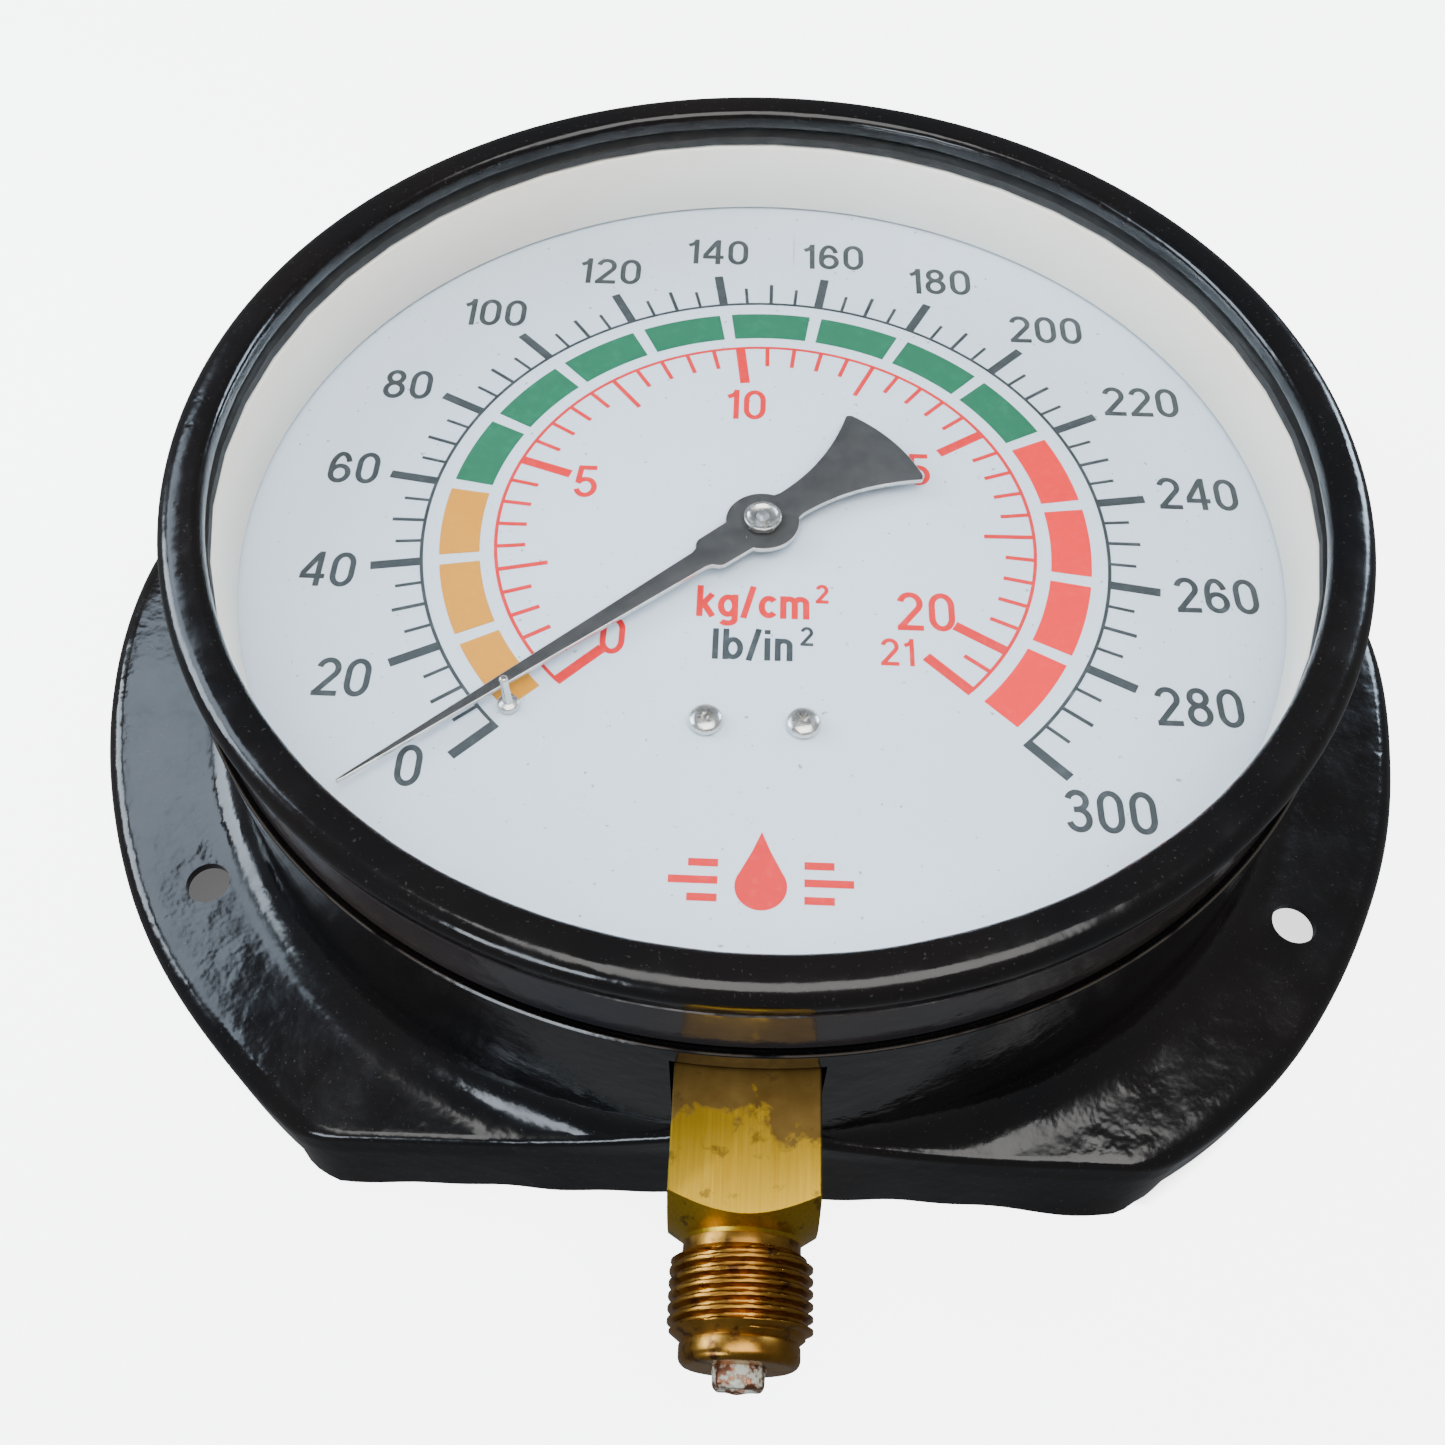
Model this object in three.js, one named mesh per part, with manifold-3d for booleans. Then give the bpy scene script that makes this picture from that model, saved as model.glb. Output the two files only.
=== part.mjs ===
// A Bourdon-tube pressure gauge in a drawn steel case on a mounting flange, lying on its back.
// +Z comes out of the dial, +Y points up the dial, and the threaded stem points along -Y.
// The origin is the centre of the case's back face. Millimetres and degrees throughout.
import * as THREE from "three";
import { mergeVertices } from "three/addons/utils/BufferGeometryUtils.js";
import Module from "manifold-3d";

const wasm = await Module();
wasm.setup();

// ---- Driving dimensions ----

const clearance = 0.3; // left between pieces that touch
const ringSides = 48; // facets round the large rings
const pinSides = 12; // facets round screws, pins and holes

const caseRadius = 82.6; // outside the drawn case
const caseWall = 1.2;
const caseCorner = 6; // outside radius between the case's wall and back
const dialHeight = 41; // the dial's face above the case's back

const flangeWall = 1.5;
const flangeWidth = 21.6; // from the collar to the outside of the rim
const flangeHeight = 12; // the flange's upper face above the case's back
const collarWall = 1.5;
const collarRise = 5.4; // the collar's top edge above the dial's face
const collarFillet = 7.5;
const rimCorner = 3;
const holeInset = 10.6; // from the collar to the mounting holes' centres
const mountingHoleRadius = 3.25;
const mountingHoleAngles = [90, 210, 330];
const flatOffset = 1.1; // from the collar to the flange's flat front edge
const flatSlope = 10.5; // the front lip leans out from the vertical by this

const windowDepth = 14.7; // from the dial's face to the underside of the window
const windowThickness = 3;
const windowMargin = 0.5; // between the window's edge and the case
const gasketThickness = 1.4;
const gasketWidth = 2.6;

const bezelWall = 0.8;
const bezelWidth = 5.9; // from the skirt's outside to the opening
const bezelSkirt = 2; // the skirt's length below the window's face
const bezelCrown = 3.3; // the bezel's top above the window's face
const bezelFlare = 0.25; // the skirt's lower edge stands out by this

const spacerWall = 1.2;
const spacerInset = 3.4; // from the case's inside to the spacer's inside
const dialThickness = 0.8;
const dialMargin = 2.5; // between the dial's edge and the case
const dialScrewAt = [
  [-7.1, -35],
  [6.4, -35],
];
const dialScrewHead = 2.42;
const dialScrewHeight = 1.5;

const stemWidth = 17.6; // across the flats of the square block
const stemDrop = 7.5; // the stem's axis below the dial's face
const blockLength = 16.4; // the square block outside the collar
const blockCone = 58; // half angle of the turned cone on the block's end
const neckRadius = 6.9;
const neckLength = 1.6;
const threadRadius = 8.33; // G 3/8, pipe thread
const threadDepth = 0.86;
const threadPitch = 1.337;
const threadTurns = 7;
const spigotRadius = 6.9;
const spigotLength = 2.7;
const pilotRadius = 3;
const pilotLength = 2.2;
const boreRadius = 1.5;
const openingMargin = 0.6; // round the block, in the case and the collar
const footWidth = 26;
const footHeight = 13.8; // the foot is lower than the block, to pass under the dial
const footMargin = 1.6; // between the foot and the case
const footReach = 6; // from the tube's centre line to the foot's inner end
const tongueLength = 8; // of the foot under the movement

const tubeToCase = 23.4; // from the case's inside to the tube's centre line
const tubeWidth = 12; // along the gauge's axis
const tubeDepth = 6; // across the curl
const tubeWall = 0.7;
const tubeTipAngle = -30;
const tubeSocketDepth = 5.5; // how far the tube's root is let into the foot
const rootLead = 0.6; // degrees that the pocket runs on past the tube's root
const rootSweep = 14; // degrees of curl that the pocket takes in

const gearModule = 0.4;
const pinionTeeth = 14;
const sectorTeeth = 98; // on the whole circle that the sector is part of
const sectorGap = 0.05; // taken off each flank for backlash
const sectorSweep = 270 / 7; // the sector turns this for the whole scale
const sectorTail = 8; // from the sector's pivot to the link's pin
const sectorTailAngle = -86.5;
const sectorThickness = 1.4;
const arborRadius = 1;
const arborFit = 0.3; // round an arbor in a plate
const linkThickness = 1;
const lugThickness = 2; // of the tube tip's lug over the link
const lugRadius = 3;
const linkPinRadius = 0.9;
const linkPlay = 0.55; // round the sector's pin, where the linkage is opened

const plateThickness = 1.5;
const plateHalfWidth = 17.5;
const plateTop = 6;
const backPlateFoot = 12; // half the back plate's width at its lower end
const frontPlateFoot = 11;
const plateMargin = 5; // between the plates and the socket's foot
const pillarLength = 9.6;
const pillarRadius = 2.3;
const pillarSpan = 14; // from the middle to each upper pillar
const pillarDrop = 2;
const pillarInset = 3.5; // from the plates' lower edge to the lower pillar
const screwRadius = 1;
const screwHeadRadius = 2;
const screwHeadHeight = 1.2;

const hairspringTurns = 4;
const hairspringInner = 2.7;
const hairspringOuter = 7;
const hairspringBand = 0.3;
const hairspringHeight = 1;

const pointerRise = 1.9; // the pointer's underside above the dial's face
const pointerThickness = 0.7;
const pointerLength = 73.4;
const pointerHub = 5.6;
const pointerTail = 26.8;
const pointerTailAngle = 19.8;
const pointerRestAngle = 220.9;
const bossRadius = 2.83;
const bossHeight = 0.9;

const stopAngle = 224.1;
const stopRadius = 48.15; // from the dial's centre to the stop pin
const stopPinRadius = 0.62;
const stopPinHeight = 6.8;
const stopCollarRadius = 1.56;

const bracketWall = 1.5;
const bracketWidth = 10;
const bracketHalfSpan = 12;
const bracketFoot = 9;

// ---- Sizes that follow from them ----

const caseInner = caseRadius - caseWall;
const windowBase = dialHeight + windowDepth;
const windowFace = windowBase + windowThickness;
const caseHeight = windowFace - clearance;
const collarInner = caseRadius + clearance;
const collarOuter = collarInner + collarWall;
const collarTop = dialHeight + collarRise;
const flangeRadius = collarOuter + flangeWidth;
const holeCircle = collarOuter + holeInset;
const flatDistance = collarOuter + flatOffset;
const lipBend = flangeHeight - 0.4; // the front lip leans from here down
const dialRadius = caseInner - dialMargin;
const dialBack = dialHeight - dialThickness;
const stemAxis = dialHeight - stemDrop;
const stemHalf = stemWidth / 2;
const blockBottom = stemAxis - stemHalf;
const blockCorner = stemHalf * Math.SQRT2;
const coneRate = Math.tan(THREE.MathUtils.degToRad(blockCone));
const coneStart = collarOuter + blockLength - (blockCorner - stemHalf) / coneRate;
const coneEnd = coneStart + (blockCorner - neckRadius) / coneRate;
const tubeRadius = caseInner - tubeToCase;
const tubeMiddle = blockBottom + footHeight / 2;
const tubeRootAt = footWidth / 2 - tubeSocketDepth;
const tubeRootAngle = 270 - THREE.MathUtils.radToDeg(Math.asin(tubeRootAt / tubeRadius));
const footEnd = footReach - tubeRadius;
const tongueEnd = footEnd - tongueLength;
const bracketStart = tongueEnd - 3;
const backPlateBase = blockBottom - clearance - plateThickness;
const pillarBase = backPlateBase + plateThickness + clearance;
const frontPlateBase = pillarBase + pillarLength + clearance;
const frontPlateTop = frontPlateBase + plateThickness;
const plateBottom = -footEnd - plateMargin;
const pillarAt = [
  [-pillarSpan, -pillarDrop],
  [pillarSpan, -pillarDrop],
  [0, pillarInset - plateBottom],
];
const pinionPitch = (gearModule * pinionTeeth) / 2;
const sectorPitch = (gearModule * sectorTeeth) / 2;
const sectorPivot = [0, -(pinionPitch + sectorPitch)];
const sectorBase = pillarBase + 2.6;
const linkBase = sectorBase + sectorThickness + clearance;
const pointerBase = dialHeight + pointerRise;
const pointerTop = pointerBase + pointerThickness;

const tailAt = polar(sectorTail, sectorTailAngle, sectorPivot);
const tipAt = polar(tubeRadius - 4, tubeTipAngle - 9);

// ---- Materials ----

const enamel = finish(0x0c0d10, 0.22, 0);
const cream = finish(0xe9e2d4, 0.6, 0);
const dialPaint = finish(0xdfe6ee, 0.5, 0);
const glass = finish(0xeef4f6, 0.05, 0);
const rubber = finish(0x1b1b1b, 0.8, 0);
const brass = finish(0xb08a3e, 0.35, 1);
const bronze = finish(0xb9874b, 0.35, 1);
const nickel = finish(0xc8cacc, 0.3, 1);
const steel = finish(0x9da1a6, 0.35, 1);
const springBronze = finish(0xa9763a, 0.4, 1);
const pointerPaint = finish(0x17181a, 0.55, 0);

function finish(color, roughness, metalness) {
  return new THREE.MeshStandardMaterial({ color, roughness, metalness });
}

// ---- Geometry helpers ----

// A point at a distance and an angle from a centre.
function polar(distance, degrees, centre = [0, 0]) {
  const angle = THREE.MathUtils.degToRad(degrees);
  return [centre[0] + distance * Math.cos(angle), centre[1] + distance * Math.sin(angle)];
}

// Points along an arc, both ends included.
function arc(centre, radius, from, to, steps) {
  const points = [];
  for (let i = 0; i <= steps; i++) {
    points.push(polar(radius, from + ((to - from) * i) / steps, centre));
  }
  return points;
}

// A closed geometry as a manifold-3d solid with its faces pointing out.
function solid(geometry) {
  const bare = new THREE.BufferGeometry();
  bare.setAttribute("position", geometry.getAttribute("position"));
  if (geometry.index) bare.setIndex(geometry.index);
  const merged = mergeVertices(bare, 1e-4);
  const vertProperties = merged.attributes.position.array;
  const triVerts = new Uint32Array(merged.index.array);
  const made = new wasm.Manifold(new wasm.Mesh({ numProp: 3, vertProperties, triVerts }));
  if (made.volume() > 0) return made;
  const turned = new wasm.Mesh({ numProp: 3, vertProperties, triVerts: triVerts.reverse() });
  return new wasm.Manifold(turned);
}

// A profile of [radius, height] points turned round +Z.
function turned(profile, sides = ringSides) {
  const points = profile.map(([radius, height]) => new THREE.Vector2(radius, height));
  return solid(new THREE.LatheGeometry(points, sides).rotateX(Math.PI / 2));
}

// The same, for a section that closes on itself and stays off the axis.
function ring(section, sides = ringSides) {
  return turned([...section, section[0]], sides);
}

// A cylinder along +Z, centred on a point.
function rod(radius, from, to, [x, y] = [0, 0], sides = pinSides) {
  const profile = [
    [0, from],
    [radius, from],
    [radius, to],
    [0, to],
  ];
  return turned(profile, sides).translate([x, y, 0]);
}

// A box between two corners.
function block(low, high) {
  const size = high.map((value, i) => value - low[i]);
  const geometry = new THREE.BoxGeometry(...size);
  return solid(geometry.translate(...low.map((value, i) => value + size[i] / 2)));
}

// A flat outline of [x, y] points, extruded from one height to another.
function plate(outline, from, to) {
  const shape = new THREE.Shape(outline.map(([x, y]) => new THREE.Vector2(x, y)));
  const geometry = new THREE.ExtrudeGeometry(shape, { depth: to - from, bevelEnabled: false });
  return solid(geometry.translate(0, 0, from));
}

// A flat bar from one point to another.
function bar(start, end, width, from, to) {
  const [dx, dy] = [end[0] - start[0], end[1] - start[1]];
  const angle = THREE.MathUtils.radToDeg(Math.atan2(dy, dx));
  const flat = block([0, -width / 2, from], [Math.hypot(dx, dy), width / 2, to]);
  return flat.rotate([0, 0, angle]).translate([...start, 0]);
}

function join(first, ...others) {
  return others.reduce((whole, piece) => whole.add(piece), first);
}

function cut(first, ...tools) {
  return tools.reduce((rest, tool) => rest.subtract(tool), first);
}

// A solid as a named mesh.
function mesh(name, body, material) {
  const { vertProperties, triVerts } = body.getMesh();
  const geometry = new THREE.BufferGeometry();
  geometry.setAttribute("position", new THREE.BufferAttribute(new Float32Array(vertProperties), 3));
  geometry.setIndex(new THREE.BufferAttribute(new Uint32Array(triVerts), 1));
  geometry.computeVertexNormals();
  const made = new THREE.Mesh(geometry, material);
  made.name = name;
  return made;
}

// A screw with a flat-topped rounded head; the shank hangs below it.
function screw(headBase, headRadius, headHeight, shankRadius, shankEnd, at) {
  const profile = [
    [0, shankEnd],
    [shankRadius, shankEnd],
    [shankRadius, headBase],
    [headRadius, headBase],
    [headRadius, headBase + headHeight * 0.45],
    [headRadius * 0.75, headBase + headHeight],
    [0, headBase + headHeight],
  ];
  return turned(profile, pinSides).translate([...at, 0]);
}

// The same screw the other way up, driven from below.
function screwFromBelow(headTop, headRadius, headHeight, shankRadius, shankEnd, at) {
  const upright = screw(-headTop, headRadius, headHeight, shankRadius, -shankEnd, [0, 0]);
  return upright.rotate([180, 0, 0]).translate([...at, 0]);
}

// ---- Case, flange, bezel and window ----

// The passage that the stem's square block takes through a wall.
function stemOpening() {
  const half = stemHalf + openingMargin;
  return block([-half, -2 * caseRadius, stemAxis - half], [half, -caseInner / 2, stemAxis + half]);
}

function caseScrewAt(side) {
  return [side * (bracketHalfSpan + bracketFoot / 2), bracketStart - bracketWidth / 2];
}

function countersink(at, gap) {
  const head = screwHeadRadius + gap;
  const shank = screwRadius + gap;
  const profile = [
    [0, -1],
    [head, -1],
    [head, gap],
    [shank, head - shank + gap],
    [shank, caseWall + 1],
    [0, caseWall + 1],
  ];
  return turned(profile, pinSides).translate([...at, 0]);
}

function makeCaseCup() {
  const inner = caseCorner - caseWall;
  const profile = [
    [0, 0],
    ...arc([caseRadius - caseCorner, caseCorner], caseCorner, -90, 0, 3),
    [caseRadius, caseHeight],
    [caseInner, caseHeight],
    ...arc([caseInner - inner, caseCorner], inner, 0, -90, 3),
    [0, caseWall],
  ];
  const holes = [-1, 1].map((side) => countersink(caseScrewAt(side), clearance / 2));
  return mesh("case_cup", cut(turned(profile), stemOpening(), ...holes), enamel);
}

// Everything behind the flange's flat front edge and the lip that leans out below it.
function behindLip(setback) {
  const reach = 3 * flangeRadius;
  const front = setback - flatDistance;
  const above = block([-reach, front, lipBend], [reach, reach, reach]);
  const below = block([-reach, 0, -reach], [reach, 2 * reach, reach]).rotate([-flatSlope, 0, 0]);
  const under = block([-reach, -reach, -reach], [reach, reach, lipBend + 0.01]);
  return join(above, below.translate([0, front, lipBend]).intersect(under));
}

function makeFlange() {
  const rim = flangeRadius - rimCorner;
  const filletCentre = [collarOuter + collarFillet, flangeHeight + collarFillet];
  const outside = [
    [0, 0],
    [flangeRadius, 0],
    ...arc([rim, flangeHeight - rimCorner], rimCorner, 0, 90, 3),
    ...arc(filletCentre, collarFillet, 270, 180, 4),
    [collarOuter, collarTop],
    [0, collarTop],
  ];
  const under = flangeHeight - flangeWall;
  const raised = ([r, z]) => [r, Math.max(z, under)];
  const inside = [
    [0, -1],
    [flangeRadius - flangeWall, -1],
    ...arc([rim, flangeHeight - rimCorner], rimCorner - flangeWall, 0, 90, 2),
    ...arc(filletCentre, collarFillet + collarWall, 270, 180, 4).map(raised),
    [collarInner, collarTop + 1],
    [0, collarTop + 1],
  ];
  const shell = turned(outside).intersect(behindLip(0));
  const hollow = turned(inside).intersect(behindLip(flangeWall));
  const bore = rod(collarInner, -1, collarTop + 1, [0, 0], ringSides);
  const holes = mountingHoleAngles.map((angle) =>
    rod(mountingHoleRadius, under - 1, flangeHeight + 1, polar(holeCircle, angle)),
  );
  return mesh("mounting_flange", cut(shell, hollow, bore, stemOpening(), ...holes), enamel);
}

function makeBezel() {
  const top = windowFace + bezelCrown;
  const skirtInner = caseRadius + clearance;
  const skirtOuter = skirtInner + bezelWall;
  const lipInner = skirtOuter - bezelWidth;
  const skirtEnd = windowFace - bezelSkirt;
  const shoulder = 2.4;
  const nose = 1.4;
  const flareEnd = skirtEnd + 1.6;
  const section = [
    [skirtInner + bezelFlare, skirtEnd],
    [skirtOuter + bezelFlare, skirtEnd],
    [skirtOuter, flareEnd],
    ...arc([skirtOuter - shoulder, top - shoulder], shoulder, 0, 90, 3),
    ...arc([lipInner + nose, top - nose], nose, 90, 180, 2),
    [lipInner, windowFace + clearance],
    [lipInner + bezelWall, windowFace + clearance],
    ...arc([lipInner + nose, top - nose], nose - bezelWall, 180, 90, 1),
    ...arc([skirtOuter - shoulder, top - shoulder], shoulder - bezelWall, 90, 0, 2),
    [skirtInner, flareEnd],
  ];
  return mesh("bezel", ring(section), enamel);
}

function makeWindow() {
  const radius = caseInner - windowMargin;
  return mesh("window_glass", rod(radius, windowBase, windowFace, [0, 0], ringSides), glass);
}

function makeGasket() {
  const outer = caseInner - windowMargin;
  const inner = outer - gasketWidth;
  const top = windowBase - clearance;
  const base = top - gasketThickness;
  const section = [
    [inner, base],
    [outer, base],
    [outer, top],
    [inner, top],
  ];
  return mesh("window_gasket", ring(section), rubber);
}

function makeSpacer() {
  const inner = caseInner - spacerInset;
  const outer = caseInner - windowMargin;
  const top = windowBase - gasketThickness - 2 * clearance;
  const section = [
    [inner, dialHeight + clearance],
    [inner + spacerWall, dialHeight + clearance],
    [inner + spacerWall, top - spacerWall],
    [outer, top - spacerWall],
    [outer, top],
    [inner, top],
  ];
  return mesh("spacer_ring", ring(section), cream);
}

// ---- Dial ----

function makeDial() {
  const face = rod(dialRadius, dialBack, dialHeight, [0, 0], ringSides);
  const holes = [
    rod(arborRadius + 1.2, dialBack - 1, dialHeight + 1),
    rod(stopPinRadius + clearance, dialBack - 1, dialHeight + 1, polar(stopRadius, stopAngle)),
    ...dialScrewAt.map((at) => rod(screwRadius + 0.6, dialBack - 1, dialHeight + 1, at)),
  ];
  return mesh("dial_plate", cut(face, ...holes), dialPaint);
}

function makeDialScrew(side, at) {
  const base = dialHeight + clearance;
  const body = screw(base, dialScrewHead, dialScrewHeight, screwRadius, frontPlateBase + clearance, at);
  return mesh("dial_screw_" + side, body, nickel);
}

function makeDialPost(side, at) {
  const from = frontPlateTop + clearance;
  const to = dialBack - clearance;
  const hole = rod(screwRadius + clearance, from - 1, to + 1, at);
  return mesh("dial_post_" + side, cut(rod(2.4, from, to, at), hole), brass);
}

function makeStopPin() {
  const base = dialHeight + clearance;
  const profile = [
    [0, dialBack - 1.2],
    [stopPinRadius, dialBack - 1.2],
    [stopPinRadius, base],
    [stopCollarRadius, base],
    [stopCollarRadius, base + 0.4],
    [stopPinRadius + 0.2, base + 1.1],
    [stopPinRadius, base + 1.3],
    [stopPinRadius, dialHeight + stopPinHeight - 0.3],
    [stopPinRadius * 0.5, dialHeight + stopPinHeight],
    [0, dialHeight + stopPinHeight],
  ];
  const at = polar(stopRadius, stopAngle);
  return mesh("stop_pin", turned(profile, pinSides).translate([...at, 0]), nickel);
}

// ---- Pointer ----

// The pointer's outline with its needle along +X.
function pointerOutline() {
  const shoulder = pointerHub + 4;
  const neck = 2.7;
  const fan = arc([0, 0], pointerTail, 180 - pointerTailAngle, 180 + pointerTailAngle, 6);
  const upper = [
    [pointerLength, 0.12],
    [shoulder + 1.2, 1.95],
    [shoulder, 3.1],
    ...arc([0, 0], pointerHub, 32, 148, 6),
    [-pointerHub - 2.4, neck],
    [-pointerHub - 7, neck + 0.9],
    [-pointerHub - 13, neck + 3.1],
  ];
  const lower = upper.map(([x, y]) => [x, -y]).reverse();
  return [...upper, ...fan, ...lower];
}

function makePointer() {
  const flat = plate(pointerOutline(), pointerBase, pointerTop);
  const hole = rod(bossRadius - 0.6, pointerBase - 1, pointerTop + 1);
  return mesh("pointer", cut(flat, hole).rotate([0, 0, pointerRestAngle]), pointerPaint);
}

function makePointerHub() {
  const sleeve = bossRadius - 0.6 - clearance;
  const base = pointerTop + clearance;
  const profile = [
    [arborRadius + clearance, pointerBase - 1.6],
    [sleeve, pointerBase - 1.6],
    [sleeve, base],
    [bossRadius, base],
    [bossRadius, base + bossHeight - 0.4],
    [bossRadius - 0.4, base + bossHeight],
    [arborRadius + clearance, base + bossHeight],
  ];
  return mesh("pointer_hub", ring(profile, pinSides), nickel);
}

// ---- Stem ----

// The stem's turned end, from the block outwards, as [radius, distance] points.
function stemProfile() {
  const root = threadRadius - threadDepth;
  const threadStart = coneEnd + neckLength;
  const threadEnd = threadStart + threadTurns * threadPitch;
  const spigotEnd = threadEnd + spigotLength;
  const pilotEnd = spigotEnd + pilotLength;
  const ridges = Array.from({ length: threadTurns }, (_, turn) => {
    const y = threadStart + turn * threadPitch;
    return [
      [root, y + threadPitch * 0.1],
      [threadRadius, y + threadPitch * 0.45],
      [threadRadius, y + threadPitch * 0.65],
    ];
  });
  return [
    [0, 0],
    [blockCorner + 1, 0],
    [blockCorner + 1, coneStart],
    [blockCorner, coneStart],
    [neckRadius, coneEnd],
    [neckRadius, threadStart],
    ...ridges.flat(),
    [spigotRadius, threadEnd + 0.3],
    [spigotRadius, spigotEnd - 0.7],
    [spigotRadius - 0.7, spigotEnd],
    [pilotRadius, spigotEnd],
    [pilotRadius, pilotEnd - 0.3],
    [pilotRadius - 0.3, pilotEnd],
    [0, pilotEnd],
  ];
}

// A solid turned round +Z, laid along -Y on the stem's axis.
function alongStem(body) {
  return body.rotate([90, 0, 0]).translate([0, 0, stemAxis]);
}

function movementScrewAt() {
  const y = (footEnd + tongueEnd) / 2;
  return [
    [-2, y],
    [9.5, y],
  ];
}

function bracketScrewAt(side) {
  return [side * 6, bracketStart - bracketWidth / 2];
}

function makeSocket() {
  const far = 3 * caseRadius;
  const blockStart = footMargin - caseInner;
  const square = block([-stemHalf, -far, blockBottom], [stemHalf, blockStart, stemAxis + stemHalf]);
  const round = alongStem(turned(stemProfile(), 24));
  const end = cut(round, block([-far, -coneEnd, -far], [far, far, far]));
  const footTop = blockBottom + footHeight;
  const foot = block([-footWidth / 2, blockStart, blockBottom], [footWidth / 2, footEnd, footTop]);
  const root = block([-stemHalf, blockStart - 1, blockBottom], [stemHalf, blockStart + 1, footTop]);
  const body = join(square.intersect(round), end, foot, root);
  const bore = alongStem(rod(boreRadius, 4 - footEnd, far));
  const outline = tubeSection(tubeWidth + 2 * clearance, tubeDepth + 2 * clearance);
  const pocket = tubeSweep(outline, rootLead, rootSweep);
  const crossing = rod(boreRadius * 0.7, -0.5, footWidth / 2 - tubeSocketDepth + 0.5);
  const channel = crossing.rotate([0, -90, 0]).translate([0, footEnd - tubeSocketDepth, stemAxis]);
  const taps = [...movementScrewAt(), bracketScrewAt(-1), bracketScrewAt(1)].map((at) =>
    rod(screwRadius + clearance, blockBottom - 1, blockBottom + 5, at),
  );
  return mesh("socket", cut(body, bore, channel, pocket, ...taps), brass);
}

// ---- Bourdon tube and its tip ----

// A flattened tube's outline: two flats and two half-round edges.
function tubeSection(width, depth) {
  const flat = (width - depth) / 2;
  return [...arc([flat, 0], depth / 2, -90, 90, 4), ...arc([-flat, 0], depth / 2, 90, 270, 4)];
}

class TubePath extends THREE.Curve {
  constructor(from, to) {
    super();
    this.from = from;
    this.to = to;
  }

  getPoint(t, target = new THREE.Vector3()) {
    const [x, y] = polar(tubeRadius, this.from + (this.to - this.from) * t);
    return target.set(x, y, tubeMiddle);
  }
}

// An outline swept along the tube's curl, from a lead past its root through so many degrees.
function tubeSweep(outline, lead, sweep, bore = null) {
  const shape = new THREE.Shape(outline.map(([x, y]) => new THREE.Vector2(x, y)));
  if (bore) shape.holes.push(new THREE.Path(bore.map(([x, y]) => new THREE.Vector2(x, y))));
  const from = tubeRootAngle + lead;
  const steps = Math.max(3, Math.ceil(sweep / 9));
  const extrudePath = new TubePath(from, tubeRootAngle - sweep);
  return solid(new THREE.ExtrudeGeometry(shape, { steps, extrudePath, bevelEnabled: false }));
}

function makeTube() {
  const outside = tubeSection(tubeWidth, tubeDepth);
  const bore = tubeSection(tubeWidth - 2 * tubeWall, tubeDepth - 2 * tubeWall);
  return mesh("bourdon_tube", tubeSweep(outside, 0, tubeRootAngle - tubeTipAngle, bore), bronze);
}

function makeTubeTip() {
  const gap = THREE.MathUtils.radToDeg(clearance / tubeRadius);
  const start = tubeTipAngle - gap;
  const reach = 7;
  const inner = tubeRadius - tubeDepth / 2 - 1;
  const outer = tubeRadius + tubeDepth / 2 + 1;
  const outline = [
    ...arc([0, 0], outer, start, start - reach, 2),
    ...arc([0, 0], inner, start - reach, start, 2),
  ];
  const cap = plate(outline, tubeMiddle - tubeWidth / 2, tubeMiddle + tubeWidth / 2);
  const lugBase = linkBase + linkThickness + clearance;
  const lugTop = lugBase + lugThickness;
  const lugRoot = polar(tubeRadius, start - reach / 2);
  const eye = rod(lugRadius, lugBase, lugTop, tipAt);
  const lug = join(eye, bar(tipAt, lugRoot, 2 * lugRadius, lugBase, lugTop));
  const clear = rod(lugRadius + 0.6, tubeMiddle - tubeWidth, lugBase, tipAt);
  const above = rod(lugRadius + 0.6, lugTop, tubeMiddle + tubeWidth, tipAt);
  const hole = rod(linkPinRadius + clearance, lugBase - 1, lugTop + 1, tipAt);
  return mesh("tube_tip", cut(join(cap, lug), clear, above, hole), brass);
}

function makeTipScrew() {
  const base = linkBase + linkThickness + 2 * clearance + lugThickness;
  const body = screw(base, 1.9, 1.2, linkPinRadius, linkBase - 0.6, tipAt);
  return mesh("tip_pivot_screw", body, steel);
}

// ---- Movement ----

function makeLink() {
  const [dx, dy] = [tipAt[0] - tailAt[0], tipAt[1] - tailAt[1]];
  const length = Math.hypot(dx, dy);
  const eye = 2.7;
  const bar = block([0, -1.1, 0], [length, 1.1, linkThickness]);
  const whole = join(bar, rod(eye, 0, linkThickness), rod(eye, 0, linkThickness, [length, 0]));
  const holes = [
    rod(linkPinRadius + linkPlay, -1, 2),
    rod(linkPinRadius + clearance, -1, 2, [length, 0]),
  ];
  const angle = THREE.MathUtils.radToDeg(Math.atan2(dy, dx));
  const placed = cut(whole, ...holes).rotate([0, 0, angle]).translate([...tailAt, linkBase]);
  return mesh("link", placed, nickel);
}

function makeTailScrew() {
  const base = linkBase + linkThickness + clearance;
  const body = screw(base, 1.9, 1, linkPinRadius, sectorBase - 0.4, tailAt);
  return mesh("tail_pivot_screw", body, steel);
}

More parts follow.
